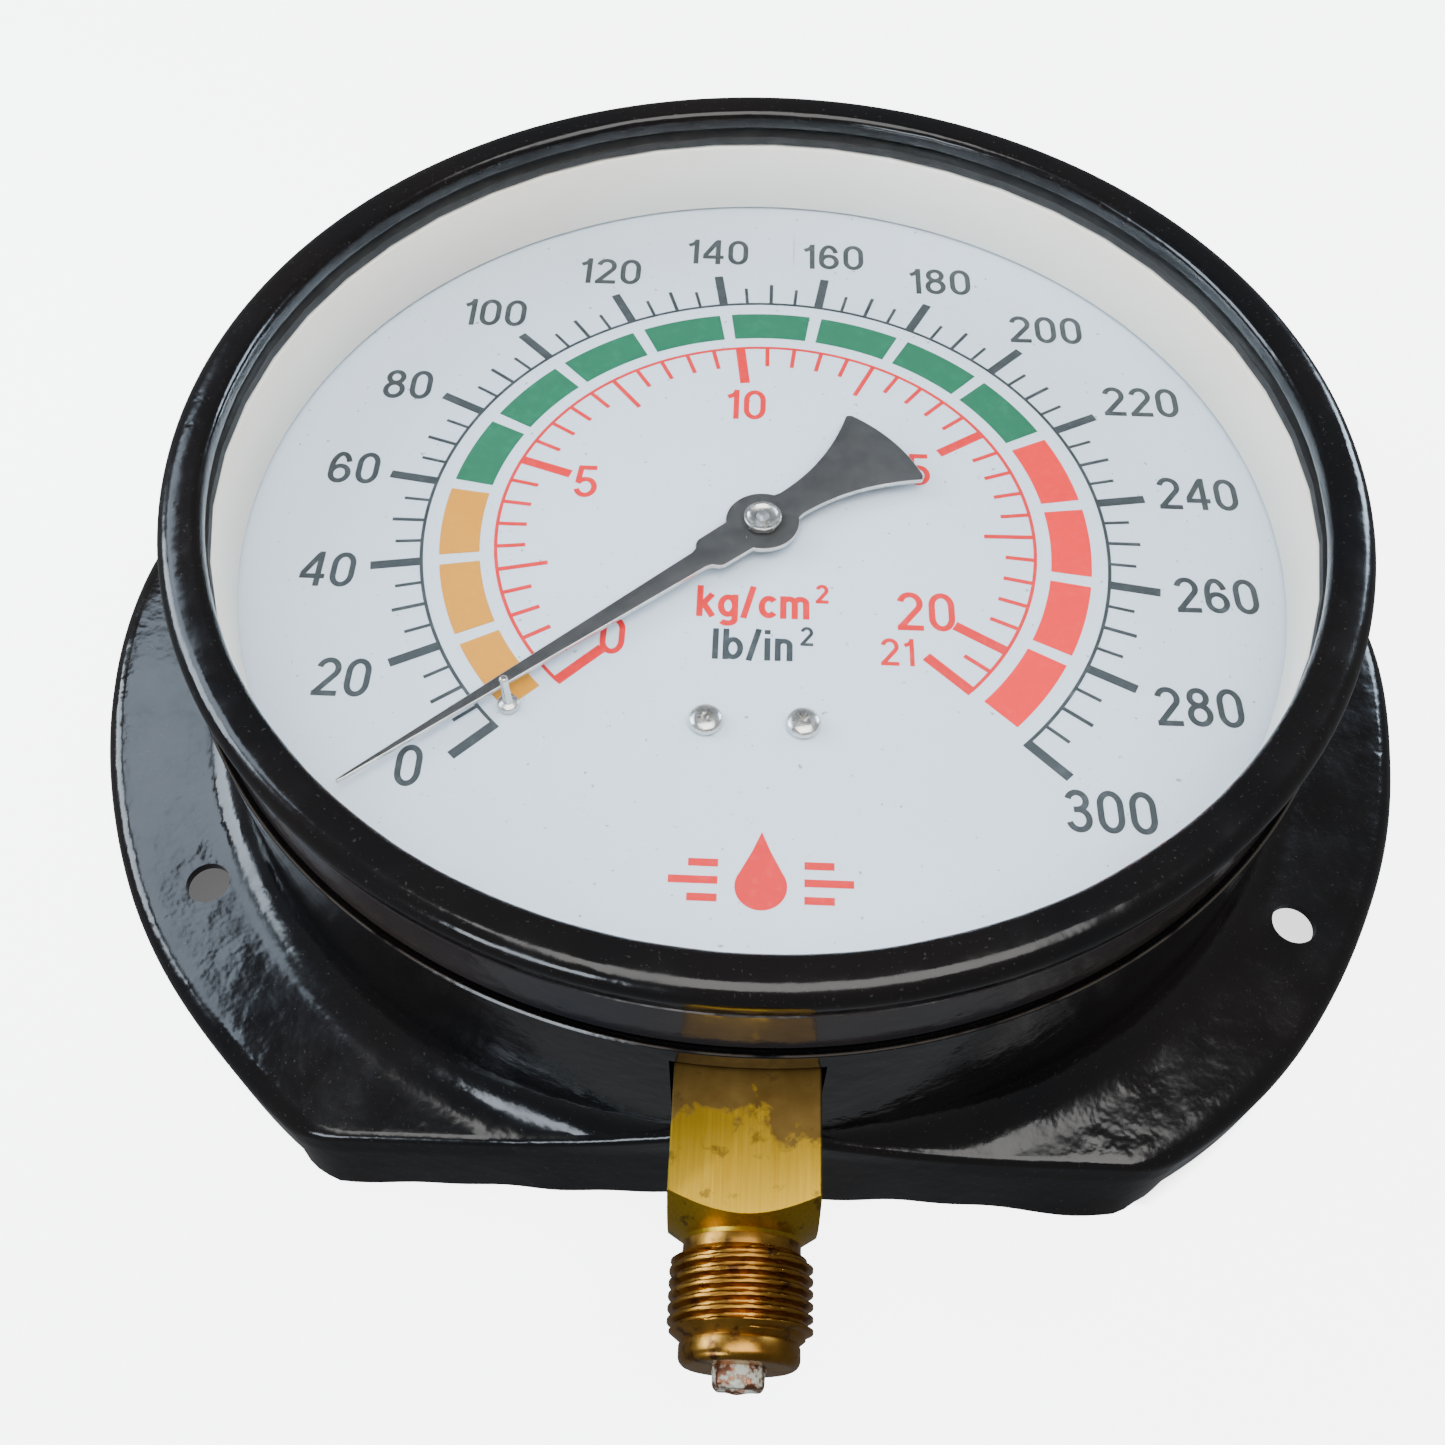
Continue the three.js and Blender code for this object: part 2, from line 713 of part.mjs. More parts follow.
// Tooth outlines round a circle, as points that run counterclockwise.
function toothPoints(teeth, first, count, thinning) {
  const pitch = (gearModule * teeth) / 2;
  const step = 360 / teeth;
  const trim = THREE.MathUtils.radToDeg(thinning / pitch);
  const points = [];
  for (let i = 0; i < count; i++) {
    const middle = first + i * step;
    const root = step * 0.36 - trim;
    const tip = step * 0.13 - trim * 0.5;
    points.push(polar(pitch - 1.15 * gearModule, middle - root));
    points.push(polar(pitch + 0.9 * gearModule, middle - tip));
    points.push(polar(pitch + 0.9 * gearModule, middle + tip));
    points.push(polar(pitch - 1.15 * gearModule, middle + root));
  }
  return points;
}

function makeSector() {
  const step = 360 / sectorTeeth;
  const meshAngle = 90;
  const ahead = 2;
  const behind = Math.ceil(sectorSweep / step) + 2;
  const first = meshAngle - behind * step;
  const teeth = toothPoints(sectorTeeth, first, behind + ahead + 1, sectorGap);
  const last = first + (behind + ahead) * step;
  const hubRadius = 3.6;
  const paneMargin = 7;
  const fan = plate([...teeth, [0, 0]], 0, sectorThickness);
  const windowIn = 6.5;
  const windowOut = sectorPitch - 3;
  const pane = [
    ...arc([0, 0], windowOut, first + paneMargin, last - paneMargin, 6),
    ...arc([0, 0], windowIn, last - 2 * paneMargin, first + 2 * paneMargin, 3),
  ];
  const hub = rod(hubRadius, 0, sectorThickness);
  const tailEnd = polar(sectorTail, sectorTailAngle);
  const tail = block([0, -2.2, 0], [sectorTail, 2.2, sectorThickness]).rotate([0, 0, sectorTailAngle]);
  const eye = rod(2.6, 0, sectorThickness, tailEnd);
  const holes = [
    rod(arborRadius + clearance, -1, 3),
    rod(linkPinRadius + clearance, -1, 3, tailEnd),
    plate(pane, -1, 3),
  ];
  const body = cut(join(fan, hub, tail, eye), ...holes);
  return mesh("sector_gear", body.translate([...sectorPivot, sectorBase]), brass);
}

function makeSectorArbor() {
  const body = rod(arborRadius, backPlateBase, frontPlateTop, sectorPivot);
  return mesh("sector_arbor", body, steel);
}

function makePinionArbor() {
  const half = 180 / pinionTeeth;
  const first = -90 + half;
  const teeth = toothPoints(pinionTeeth, first, pinionTeeth, sectorGap);
  const pinion = plate(teeth, sectorBase - 1, sectorBase + sectorThickness + 1);
  const end = pointerTop + clearance + bossHeight;
  const profile = [
    [0, backPlateBase],
    [arborRadius, backPlateBase],
    [arborRadius, end],
    [arborRadius * 0.6, end + 0.5],
    [0, end + 0.6],
  ];
  return mesh("pinion_arbor", join(turned(profile, pinSides), pinion), steel);
}

function springBase() {
  return sectorBase + sectorThickness + 2;
}

function makeCollet() {
  const base = springBase() - 0.3;
  const top = base + hairspringHeight + 0.6;
  const hole = rod(arborRadius + clearance, base - 1, top + 1);
  const body = rod(hairspringInner - 2 * clearance, base, top);
  return mesh("hairspring_collet", cut(body, hole), brass);
}

function makeHairspring() {
  const steps = hairspringTurns * 18;
  const side = (offset) => {
    const points = [];
    for (let i = 0; i <= steps; i++) {
      const share = i / steps;
      const radius = hairspringInner + (hairspringOuter - hairspringInner) * share;
      points.push(polar(radius + offset, 360 * hairspringTurns * share));
    }
    return points;
  };
  const outline = [...side(hairspringBand / 2), ...side(-hairspringBand / 2).reverse()];
  const body = plate(outline, springBase(), springBase() + hairspringHeight);
  return mesh("hairspring", body, springBronze);
}

function makeHairspringStud() {
  const at = [hairspringOuter + hairspringBand / 2 + clearance + 0.8, 0];
  const body = rod(0.8, springBase() - 0.4, frontPlateBase - clearance, at);
  return mesh("hairspring_stud", body, brass);
}

// The outline that both movement plates share, with clipped corners.
function plateOutline(bottom, halfBottom) {
  const clip = 6;
  return [
    [-plateHalfWidth + clip, plateTop],
    [-plateHalfWidth, plateTop - clip],
    [-plateHalfWidth, -plateBottom + 14],
    [-halfBottom, -plateBottom],
    [-halfBottom, bottom],
    [halfBottom, bottom],
    [halfBottom, -plateBottom],
    [plateHalfWidth, -plateBottom + 14],
    [plateHalfWidth, plateTop - clip],
    [plateHalfWidth - clip, plateTop],
  ].reverse();
}

function arborHoles(from, to) {
  const radius = arborRadius + arborFit;
  return [rod(radius, from, to), rod(radius, from, to, sectorPivot)];
}

function makeBackPlate() {
  const from = backPlateBase;
  const to = from + plateThickness;
  const holes = [
    ...arborHoles(from - 1, to + 1),
    ...movementScrewAt().map((at) => rod(screwRadius + clearance, from - 1, to + 1, at)),
    ...pillarAt.map((at) => rod(screwRadius + clearance, from - 1, to + 1, at)),
  ];
  const body = cut(plate(plateOutline(tongueEnd, backPlateFoot), from, to), ...holes);
  return mesh("movement_back_plate", body, brass);
}

function makeFrontPlate() {
  const from = frontPlateBase;
  const holes = [
    ...arborHoles(from - 1, frontPlateTop + 1),
    ...pillarAt.map((at) => rod(screwRadius + clearance, from - 1, frontPlateTop + 1, at)),
    ...dialScrewAt.map((at) => rod(screwRadius + clearance, from - 1, frontPlateTop + 1, at)),
  ];
  const body = cut(plate(plateOutline(-plateBottom - 0.5, frontPlateFoot), from, frontPlateTop), ...holes);
  return mesh("movement_front_plate", body, brass);
}

function makePillar(index, at) {
  const top = pillarBase + pillarLength;
  const hole = rod(screwRadius + clearance, pillarBase - 1, top + 1, at);
  return mesh("movement_pillar_" + index, cut(rod(pillarRadius, pillarBase, top, at), hole), brass);
}

function makePlateScrew(index, at) {
  const base = frontPlateTop + clearance;
  const body = screw(base, screwHeadRadius, screwHeadHeight, screwRadius, backPlateBase + 0.2, at);
  return mesh("plate_screw_" + index, body, steel);
}

function makeMovementScrew(side, at) {
  const head = backPlateBase - clearance;
  const body = screwFromBelow(head, screwHeadRadius, screwHeadHeight, screwRadius, blockBottom + 4, at);
  return mesh("movement_screw_" + side, body, steel);
}

// ---- Bracket between the socket and the case's back ----

function makeBracket() {
  const base = caseWall + clearance;
  const webTop = blockBottom - clearance;
  const near = bracketStart;
  const far = bracketStart - bracketWidth;
  const span = bracketHalfSpan;
  const bar = (left, right, low, high) => block([left, far, low], [right, near, high]);
  const web = bar(-span, span, webTop - bracketWall, webTop);
  const sides = [-1, 1].flatMap((side) => {
    const leg = side > 0 ? [span - bracketWall, span] : [-span, bracketWall - span];
    const tab = [span - bracketWall, span + bracketFoot];
    const foot = side > 0 ? tab : [-tab[1], -tab[0]];
    return [bar(...leg, base, webTop), bar(...foot, base, base + bracketWall)];
  });
  const holes = [-1, 1].flatMap((side) => [
    rod(screwRadius + clearance, webTop - bracketWall - 1, webTop + 1, bracketScrewAt(side)),
    rod(screwRadius + clearance, base - 1, base + bracketWall + 1, caseScrewAt(side)),
  ]);
  return mesh("socket_bracket", cut(join(web, ...sides), ...holes), steel);
}

function makeBracketScrew(side, name) {
  const head = blockBottom - 2 * clearance - bracketWall;
  const at = bracketScrewAt(side);
  const body = screwFromBelow(head, screwHeadRadius, screwHeadHeight, screwRadius, blockBottom + 4, at);
  return mesh("bracket_screw_" + name, body, steel);
}

function makeCaseScrew(side, name) {
  const profile = [
    [0, 0],
    [screwHeadRadius, 0],
    [screwRadius, screwHeadRadius - screwRadius],
    [screwRadius, caseWall + bracketWall + 1.6],
    [0, caseWall + bracketWall + 1.6],
  ];
  const body = turned(profile, pinSides).translate([...caseScrewAt(side), 0]);
  return mesh("case_screw_" + name, body, steel);
}

// ---- The assembly ----

const gauge = new THREE.Group();
gauge.name = "pressure_gauge";

const housing = new THREE.Group();
housing.add(makeCaseCup(), makeFlange(), makeBezel(), makeWindow(), makeGasket(), makeSpacer());

const face = new THREE.Group();
face.add(makeDial(), makeStopPin());
["left", "right"].forEach((side, i) => {
  face.add(makeDialScrew(side, dialScrewAt[i]), makeDialPost(side, dialScrewAt[i]));
});

const pointerTrain = new THREE.Group();
pointerTrain.add(makePointer(), makePointerHub(), makePinionArbor(), makeCollet());

const pressureParts = new THREE.Group();
pressureParts.add(makeSocket(), makeTube(), makeTubeTip(), makeTipScrew(), makeLink());

const movement = new THREE.Group();
movement.add(makeSector(), makeSectorArbor(), makeTailScrew(), makeHairspring(), makeHairspringStud());
movement.add(makeBackPlate(), makeFrontPlate());
pillarAt.forEach((at, i) => movement.add(makePillar(i + 1, at), makePlateScrew(i + 1, at)));
["left", "right"].forEach((side, i) => movement.add(makeMovementScrew(side, movementScrewAt()[i])));

const support = new THREE.Group();
support.add(makeBracket(), makeBracketScrew(-1, "left"), makeBracketScrew(1, "right"));
support.add(makeCaseScrew(-1, "left"), makeCaseScrew(1, "right"));

gauge.add(housing, face, pointerTrain, pressureParts, movement, support);

export default gauge;
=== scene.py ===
# A Bourdon pressure gauge lying on its back: black case and mounting flange, printed dial, brass stem.
# Sizes in the dictionaries are millimetres and degrees; mm turns them into Blender's metres.
import math

import bmesh
import bpy
from mathutils import Matrix, Vector, noise


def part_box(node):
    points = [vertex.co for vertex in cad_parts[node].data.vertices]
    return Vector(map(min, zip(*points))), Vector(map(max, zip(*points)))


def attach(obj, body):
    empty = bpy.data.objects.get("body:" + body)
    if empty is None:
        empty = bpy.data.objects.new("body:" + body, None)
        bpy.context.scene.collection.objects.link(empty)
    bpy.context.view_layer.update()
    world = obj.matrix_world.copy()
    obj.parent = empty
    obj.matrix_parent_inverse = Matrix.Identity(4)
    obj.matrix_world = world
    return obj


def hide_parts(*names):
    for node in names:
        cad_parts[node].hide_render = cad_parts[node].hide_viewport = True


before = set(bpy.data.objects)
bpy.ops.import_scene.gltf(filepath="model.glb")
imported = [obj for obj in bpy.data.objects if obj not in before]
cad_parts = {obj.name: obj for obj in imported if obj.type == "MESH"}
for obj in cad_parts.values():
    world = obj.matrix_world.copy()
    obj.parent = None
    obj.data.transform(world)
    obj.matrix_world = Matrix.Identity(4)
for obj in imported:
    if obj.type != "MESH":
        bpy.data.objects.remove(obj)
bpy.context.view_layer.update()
mm = 0.001
print("frame loaded:", len(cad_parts), "nodes")


# materials

class Paint:
    # a material under construction: one Principled shader and the nodes behind it
    def __init__(self, name, colour=(0.8, 0.8, 0.8), rough=0.5, metal=0.0):
        self.material = bpy.data.materials.new(name)
        self.material.use_nodes = True
        self.tree = self.material.node_tree
        self.shader = self.tree.nodes["Principled BSDF"]
        self.set("Base Color", (*colour, 1))
        self.set("Roughness", rough)
        self.set("Metallic", metal)
        self.place = self.add("ShaderNodeTexCoord").outputs["Object"]

    def add(self, kind, **settings):
        node = self.tree.nodes.new(kind)
        for key, value in settings.items():
            setattr(node, key, value)
        return node

    def set(self, socket, value):
        self.shader.inputs[socket].default_value = value

    def join(self, source, target):
        self.tree.links.new(source, target)

    def wire(self, source, socket):
        self.join(source, self.shader.inputs[socket])

    def stretched(self, scale, turn=(0, 0, 0)):
        node = self.add("ShaderNodeMapping")
        node.inputs["Scale"].default_value = scale
        node.inputs["Rotation"].default_value = [math.radians(a) for a in turn]
        self.join(self.place, node.inputs["Vector"])
        return node.outputs["Vector"]

    def cloud(self, scale, detail=3.0, rough=0.5, place=None, swirl=0.0):
        node = self.add("ShaderNodeTexNoise")
        node.inputs["Scale"].default_value = scale
        node.inputs["Detail"].default_value = detail
        node.inputs["Roughness"].default_value = rough
        node.inputs["Distortion"].default_value = swirl
        self.join(place or self.place, node.inputs["Vector"])
        return node.outputs["Fac"]

    def cells(self, scale, place=None, spread=1.0):
        node = self.add("ShaderNodeTexVoronoi")
        node.inputs["Scale"].default_value = scale
        node.inputs["Randomness"].default_value = spread
        self.join(place or self.place, node.inputs["Vector"])
        return node.outputs["Distance"]

    def span(self, value, low, high, to=(0.0, 1.0)):
        node = self.add("ShaderNodeMapRange")
        for socket, number in zip(("From Min", "From Max", "To Min", "To Max"), (low, high, *to)):
            node.inputs[socket].default_value = number
        self.join(value, node.inputs["Value"])
        return node.outputs["Result"]

    def sum(self, kind, first, second):
        node = self.add("ShaderNodeMath", operation=kind)
        for socket, value in zip(node.inputs, (first, second)):
            if isinstance(value, (int, float)):
                socket.default_value = value
            else:
                self.join(value, socket)
        return node.outputs[0]

    def tint(self, factor, low, high):
        node = self.add("ShaderNodeMix", data_type="RGBA")
        self.join(factor, node.inputs["Factor"])
        for socket, colour in zip((node.inputs[6], node.inputs[7]), (low, high)):
            if isinstance(colour, tuple):
                socket.default_value = (*colour, 1)
            else:
                self.join(colour, socket)
        return node.outputs[2]

    def height(self, value, strength, depth, under=None):
        node = self.add("ShaderNodeBump")
        node.inputs["Strength"].default_value = strength
        node.inputs["Distance"].default_value = depth * mm
        self.join(value, node.inputs["Height"])
        if under:
            self.join(under, node.inputs["Normal"])
        self.wire(node.outputs["Normal"], "Normal")
        return node.outputs["Normal"]

    def mottle(self, scale, detail, low, high, first, second, **shape):
        # two colours mixed by a cloud
        return self.tint(self.span(self.cloud(scale, detail, **shape), low, high), first, second)

    def gloss(self, scale, detail, low, high, ends):
        self.wire(self.span(self.cloud(scale, detail), low, high, ends), "Roughness")

    def grain(self, scale, detail, strength, depth, under=None):
        return self.height(self.cloud(scale, detail), strength, depth, under)

    def axis(self, letter):
        node = self.add("ShaderNodeSeparateXYZ")
        self.join(self.place, node.inputs["Vector"])
        return node.outputs[letter]


# camera, lights and floor

viewpoint = {
    "spot": (-2.75, -141.8, 202.4),
    "ahead": (-0.0105, 0.5547, -0.832),
    "across": (0.9993, 0.0356, 0.0112),
    "lens": 34.67,
}


def aimCamera():
    data = bpy.data.cameras.new("viewpoint")
    data.sensor_width = 36
    data.lens = viewpoint["lens"]
    data.clip_start = 0.01
    ahead = Vector(viewpoint["ahead"]).normalized()
    across = Vector(viewpoint["across"])
    across = (across - ahead * across.dot(ahead)).normalized()
    up = across.cross(ahead)
    turn = Matrix((across, up, -ahead)).transposed().to_4x4()
    camera = bpy.data.objects.new("viewpoint", data)
    camera.matrix_world = Matrix.Translation(Vector(viewpoint["spot"]) * mm) @ turn
    bpy.context.scene.collection.objects.link(camera)
    bpy.context.scene.camera = camera


# each softbox: where it hangs and what it points at (mm), its size (mm), power (W) and colour
softboxes = {
    "overhead": ((60, -190, 760), (0, 0, 0), (700, 560), 6.9, (1.0, 0.985, 0.965)),
    "window": ((-620, 120, 330), (-20, 0, 20), (360, 260), 4.0, (0.74, 0.87, 1.0)),
    "filler": ((520, 420, 330), (0, 0, 40), (200, 240), 3.0, (0.66, 0.82, 1.0)),
    "sheen": ((-212, 72, 225), (-212, 72, 0), (96, 200), 0.40, (0.70, 0.84, 1.0)),
    "low": ((-250, -430, 190), (-40, -70, 50), (190, 120), 1.0, (0.80, 0.90, 1.0)),
}


def hangSoftboxes():
    for name, (spot, aim, size, power, colour) in softboxes.items():
        data = bpy.data.lights.new(name, "AREA")
        data.shape = "RECTANGLE"
        data.size = size[0] * mm
        data.size_y = size[1] * mm
        data.energy = power
        data.color = colour
        lamp = bpy.data.objects.new(name, data)
        facing = (Vector(aim) - Vector(spot)).to_track_quat("-Z", "Y")
        lamp.matrix_world = Matrix.Translation(Vector(spot) * mm) @ facing.to_matrix().to_4x4()
        bpy.context.scene.collection.objects.link(lamp)
    world = bpy.data.worlds.new("studio")
    world.use_nodes = True
    world.node_tree.nodes["Background"].inputs["Color"].default_value = (0.90, 0.95, 1.0, 1)
    world.node_tree.nodes["Background"].inputs["Strength"].default_value = 0.18
    bpy.context.scene.world = world


# the floor and the painted shade in its glow under the gauge (mm), with what is left of the glow at each
# side
floorSheet = {
    "reach": 4.0, "drop": 0.3, "glow": 5.0, "radius": 103, "front": -85, "edge": 2,
    "fade": 60, "left": 0.03, "right": 0.35,
}


def layFloor():
    f = floorSheet
    glow = f["glow"]
    paint = Paint("paleFloor", rough=0.9)
    paint.set("Specular IOR Level", 0.1)
    paint.set("Emission Color", (1, 1, 1, 1))
    length = paint.add("ShaderNodeVectorMath", operation="LENGTH")
    paint.join(paint.place, length.inputs[0])
    radius, front, edge, fade = (f[key] * mm for key in ("radius", "front", "edge", "fade"))
    # painted shade: inside the radius and behind the front line the glow drops to what is left at each side
    around = paint.span(length.outputs["Value"], radius - edge, radius + edge, (0, glow))
    before = paint.span(paint.axis("Y"), front - edge, front, (glow, 0))
    under = paint.span(paint.axis("X"), -fade, fade, (f["left"] * glow, f["right"] * glow))
    light = paint.sum("MAXIMUM", paint.sum("MAXIMUM", around, before), under)
    paint.wire(light, "Emission Strength")
    # the same painted shade darkens the base colour
    paint.wire(paint.span(light, 0, glow, (0.02, 0.93)), "Base Color")
    bm = bmesh.new()
    bmesh.ops.create_grid(bm, x_segments=1, y_segments=1, size=f["reach"])
    bmesh.ops.translate(bm, verts=bm.verts, vec=(0, 0, -f["drop"] * mm))
    mesh = bpy.data.meshes.new("floor")
    bm.to_mesh(mesh)
    bm.free()
    mesh.materials.append(paint.material)
    floor = bpy.data.objects.new("floor", mesh)
    bpy.context.scene.collection.objects.link(floor)
    floor.visible_glossy = False  # the enamel mirrors the softboxes, not the floor
    floor.visible_diffuse = False


aimCamera()
hangSoftboxes()
layFloor()
print("camera, softboxes and floor are up")


# the finishes

def stovedEnamel(name, ripple, rawFrom=None, rawTo=None, paintedLight=1.0):
    # glossy black stoving enamel over pressed steel, bare along one cut edge; paintedLight lightens the
    # black as painted light
    paint = Paint(name, rough=0.16)
    specks = paint.span(paint.cloud(1900, 2), 0.66, 0.78)
    # painted light: both blacks are scaled up by paintedLight so that the surface looks lit
    cold = tuple(paintedLight * value for value in (0.0035, 0.0038, 0.0048))
    brownish = tuple(paintedLight * value for value in (0.0085, 0.0062, 0.0055))
    black = paint.mottle(22, 3, 0.35, 0.7, cold, brownish)
    colour = paint.tint(specks, black, (0.035, 0.032, 0.030))
    if rawFrom is not None:
        level = paint.axis("Z")
        low = paint.sum("GREATER_THAN", level, rawFrom * mm)
        high = paint.sum("LESS_THAN", level, rawTo * mm)
        band = paint.sum("MULTIPLY", low, high)
        worn = paint.sum("MULTIPLY", band, paint.span(paint.cloud(160, 3), 0.3, 0.45))
        colour = paint.tint(worn, colour, (0.060, 0.050, 0.042))
    paint.wire(colour, "Base Color")
    paint.gloss(140, 4, 0.3, 0.75, (0.10, 0.24))
    paint.set("Specular IOR Level", 0.42)
    peel = paint.grain(ripple, 2, 0.35, 0.35)
    roughened = paint.grain(1400, 2, 0.16, 0.06, peel)
    pits = paint.span(paint.cells(150), 0.02, 0.10)
    paint.height(pits, 0.35, 0.10, roughened)
    return paint.material


def creamPlastic():
    paint = Paint("creamPlastic", rough=0.5)
    paint.wire(paint.mottle(14, 3, 0.3, 0.7, (0.80, 0.72, 0.61), (0.88, 0.84, 0.76)), "Base Color")
    paint.grain(500, 3, 0.15, 0.05)
    paint.set("Subsurface Weight", 0.08)
    paint.set("Subsurface Scale", 0.002)
    return paint.material


def dialLacquer():
    # pale bluish white, with a little dust and a few hairline scratches
    paint = Paint("dialLacquer", rough=0.42)
    white = paint.mottle(9, 2, 0.3, 0.7, (0.55, 0.635, 0.73), (0.59, 0.665, 0.75))
    dusty = paint.mottle(900, 2, 0.70, 0.76, white, (0.27, 0.29, 0.31))
    streaks = paint.cloud(1.0, 1, 0.4, paint.stretched((900, 16, 900), (0, 0, 38)), 0.3)
    patch = paint.span(paint.cloud(24, 1), 0.60, 0.66)
    marked = paint.sum("MULTIPLY", paint.span(streaks, 0.735, 0.76), patch)
    paint.wire(paint.tint(marked, dusty, (0.42, 0.44, 0.46)), "Base Color")
    paint.grain(700, 3, 0.08, 0.04)
    return paint.material


def printInk(name, colour, faded):
    paint = Paint(name, rough=0.45)
    paint.wire(paint.mottle(650, 4, 0.52, 0.78, colour, faded, rough=0.6), "Base Color")
    paint.grain(1200, 2, 0.1, 0.02)
    return paint.material


def mattBlack():
    paint = Paint("mattBlack")
    dark, grey = (0.012, 0.012, 0.013), (0.028, 0.027, 0.027)
    paint.wire(paint.mottle(420, 4, 0.3, 0.75, dark, grey, rough=0.6), "Base Color")
    paint.gloss(260, 3, 0.3, 0.7, (0.42, 0.6))
    paint.grain(1500, 3, 0.2, 0.03)
    return paint.material


def brightMetal(name, colour, rough, grain):
    paint = Paint(name, metal=1.0)
    dull = tuple(value * 0.72 for value in colour)
    paint.wire(paint.mottle(grain, 4, 0.25, 0.8, colour, dull, rough=0.6), "Base Color")
    paint.gloss(grain * 1.7, 3, 0.3, 0.75, (rough * 0.8, rough * 1.5))
    paint.grain(grain * 4, 3, 0.2, 0.03)
    return paint.material


def drawnBrass():
    # a square bar with draw lines along it, tarnished brown next to the case
    paint = Paint("drawnBrass", metal=1.0)
    lines = paint.cloud(1.0, 4, 0.65, paint.stretched((2600, 60, 2600)))
    gold = paint.tint(paint.span(lines, 0.3, 0.7), (0.42, 0.245, 0.012), (0.56, 0.355, 0.030))
    wander = paint.sum("MULTIPLY", paint.cloud(150, 5, 0.62, swirl=0.6), 0.020)
    tarnish = paint.span(paint.sum("ADD", paint.axis("Y"), wander), -0.0812, -0.0796)
    brown = paint.mottle(260, 4, 0.3, 0.7, (0.125, 0.072, 0.018), (0.20, 0.125, 0.034))
    spots = paint.sum("MULTIPLY", paint.span(paint.cloud(420, 4, 0.6), 0.60, 0.68), 0.6)
    mixed = paint.tint(tarnish, gold, brown)
    paint.wire(paint.tint(spots, mixed, (0.10, 0.06, 0.018)), "Base Color")
    paint.wire(paint.span(tarnish, 0, 1, (0.34, 0.46)), "Roughness")
    paint.height(lines, 0.22, 0.05)
    return paint.material


def turnedBrass():
    # darker coppery brass with grime in it
    paint = Paint("turnedBrass", metal=1.0)
    skin = paint.mottle(190, 5, 0.3, 0.7, (0.30, 0.135, 0.022), (0.42, 0.22, 0.040), rough=0.6)
    paint.wire(paint.mottle(420, 5, 0.56, 0.68, skin, (0.12, 0.052, 0.020), rough=0.62), "Base Color")
    paint.gloss(350, 3, 0.3, 0.7, (0.24, 0.40))
    paint.grain(1800, 3, 0.25, 0.03)
    return paint.material


def crustedBrass():
    paint = Paint("crustedBrass")
    crust = paint.span(paint.cloud(700, 5, 0.65), 0.46, 0.56)
    paint.wire(paint.tint(crust, (0.34, 0.15, 0.085), (0.52, 0.56, 0.47)), "Base Color")
    paint.wire(paint.span(crust, 0, 1, (1.0, 0.0)), "Metallic")
    paint.wire(paint.span(crust, 0, 1, (0.35, 0.8)), "Roughness")
    paint.height(crust, 0.5, 0.15)
    return paint.material


def clearPane():
    # flat glass that lets the lamps through to the dial
    paint = Paint("clearPane", (1, 1, 1), 0.0)
    paint.set("Transmission Weight", 1.0)
    paint.set("IOR", 1.45)
    clear = paint.add("ShaderNodeBsdfTransparent")
    clear.inputs["Color"].default_value = (0.97, 0.985, 0.98, 1)
    rays = paint.add("ShaderNodeLightPath")
    mixer = paint.add("ShaderNodeMixShader")
    output = paint.tree.nodes["Material Output"]
    paint.join(rays.outputs["Is Shadow Ray"], mixer.inputs["Fac"])
    paint.join(paint.shader.outputs["BSDF"], mixer.inputs[1])
    paint.join(clear.outputs["BSDF"], mixer.inputs[2])
    paint.join(mixer.outputs["Shader"], output.inputs["Surface"])
    return paint.material


def darkRubber():
    paint = Paint("darkRubber", rough=0.75)
    paint.wire(paint.mottle(300, 3, 0.3, 0.7, (0.010, 0.010, 0.010), (0.022, 0.021, 0.020)), "Base Color")
    paint.grain(900, 3, 0.25, 0.05)
    return paint.material


bezelEnamel = stovedEnamel("bezelEnamel", 240, 56.6, 56.83)
flangeEnamel = stovedEnamel("flangeEnamel", 330, 46.25, 46.6)
# painted light: the case wall's black is six times paler than the bezel's and flange's so that it looks lit
litCaseEnamel = stovedEnamel("litCaseEnamel", 300, paintedLight=6.0)
cream = creamPlastic()
lacquer = dialLacquer()
blackInk = printInk("blackInk", (0.022, 0.030, 0.034), (0.055, 0.068, 0.076))
redInk = printInk("redInk", (0.62, 0.0, 0.004), (0.68, 0.02, 0.028))
bandRed = printInk("bandRed", (0.76, 0.0, 0.003), (0.80, 0.015, 0.018))
bandGreen = printInk("bandGreen", (0.0, 0.108, 0.050), (0.0, 0.145, 0.070))
bandYellow = printInk("bandYellow", (0.58, 0.225, 0.0), (0.62, 0.255, 0.0))
matt = mattBlack()
bareSteel = brightMetal("bareSteel", (0.72, 0.71, 0.69), 0.30, 300)
nickel = brightMetal("nickelPlate", (0.74, 0.73, 0.70), 0.22, 500)
movementBrass = brightMetal("movementBrass", (0.70, 0.50, 0.20), 0.28, 220)
tubeBronze = brightMetal("tubeBronze", (0.66, 0.40, 0.20), 0.34, 160)
pinSteel = brightMetal("pinSteel", (0.56, 0.57, 0.59), 0.30, 320)
barBrass = drawnBrass()
threadBrass = turnedBrass()
pilotBrass = crustedBrass()
pane = clearPane()
rubber = darkRubber()
print("materials mixed:", len(bpy.data.materials))


# shaping tools shared by the pieces

def polar(radius, degrees, centre=(0.0, 0.0)):
    angle = math.radians(degrees)
    return (centre[0] + radius * math.cos(angle), centre[1] + radius * math.sin(angle))


def bow(centre, radius, start, end, steps):
    return [polar(radius, start + (end - start) * k / steps, centre) for k in range(steps + 1)]


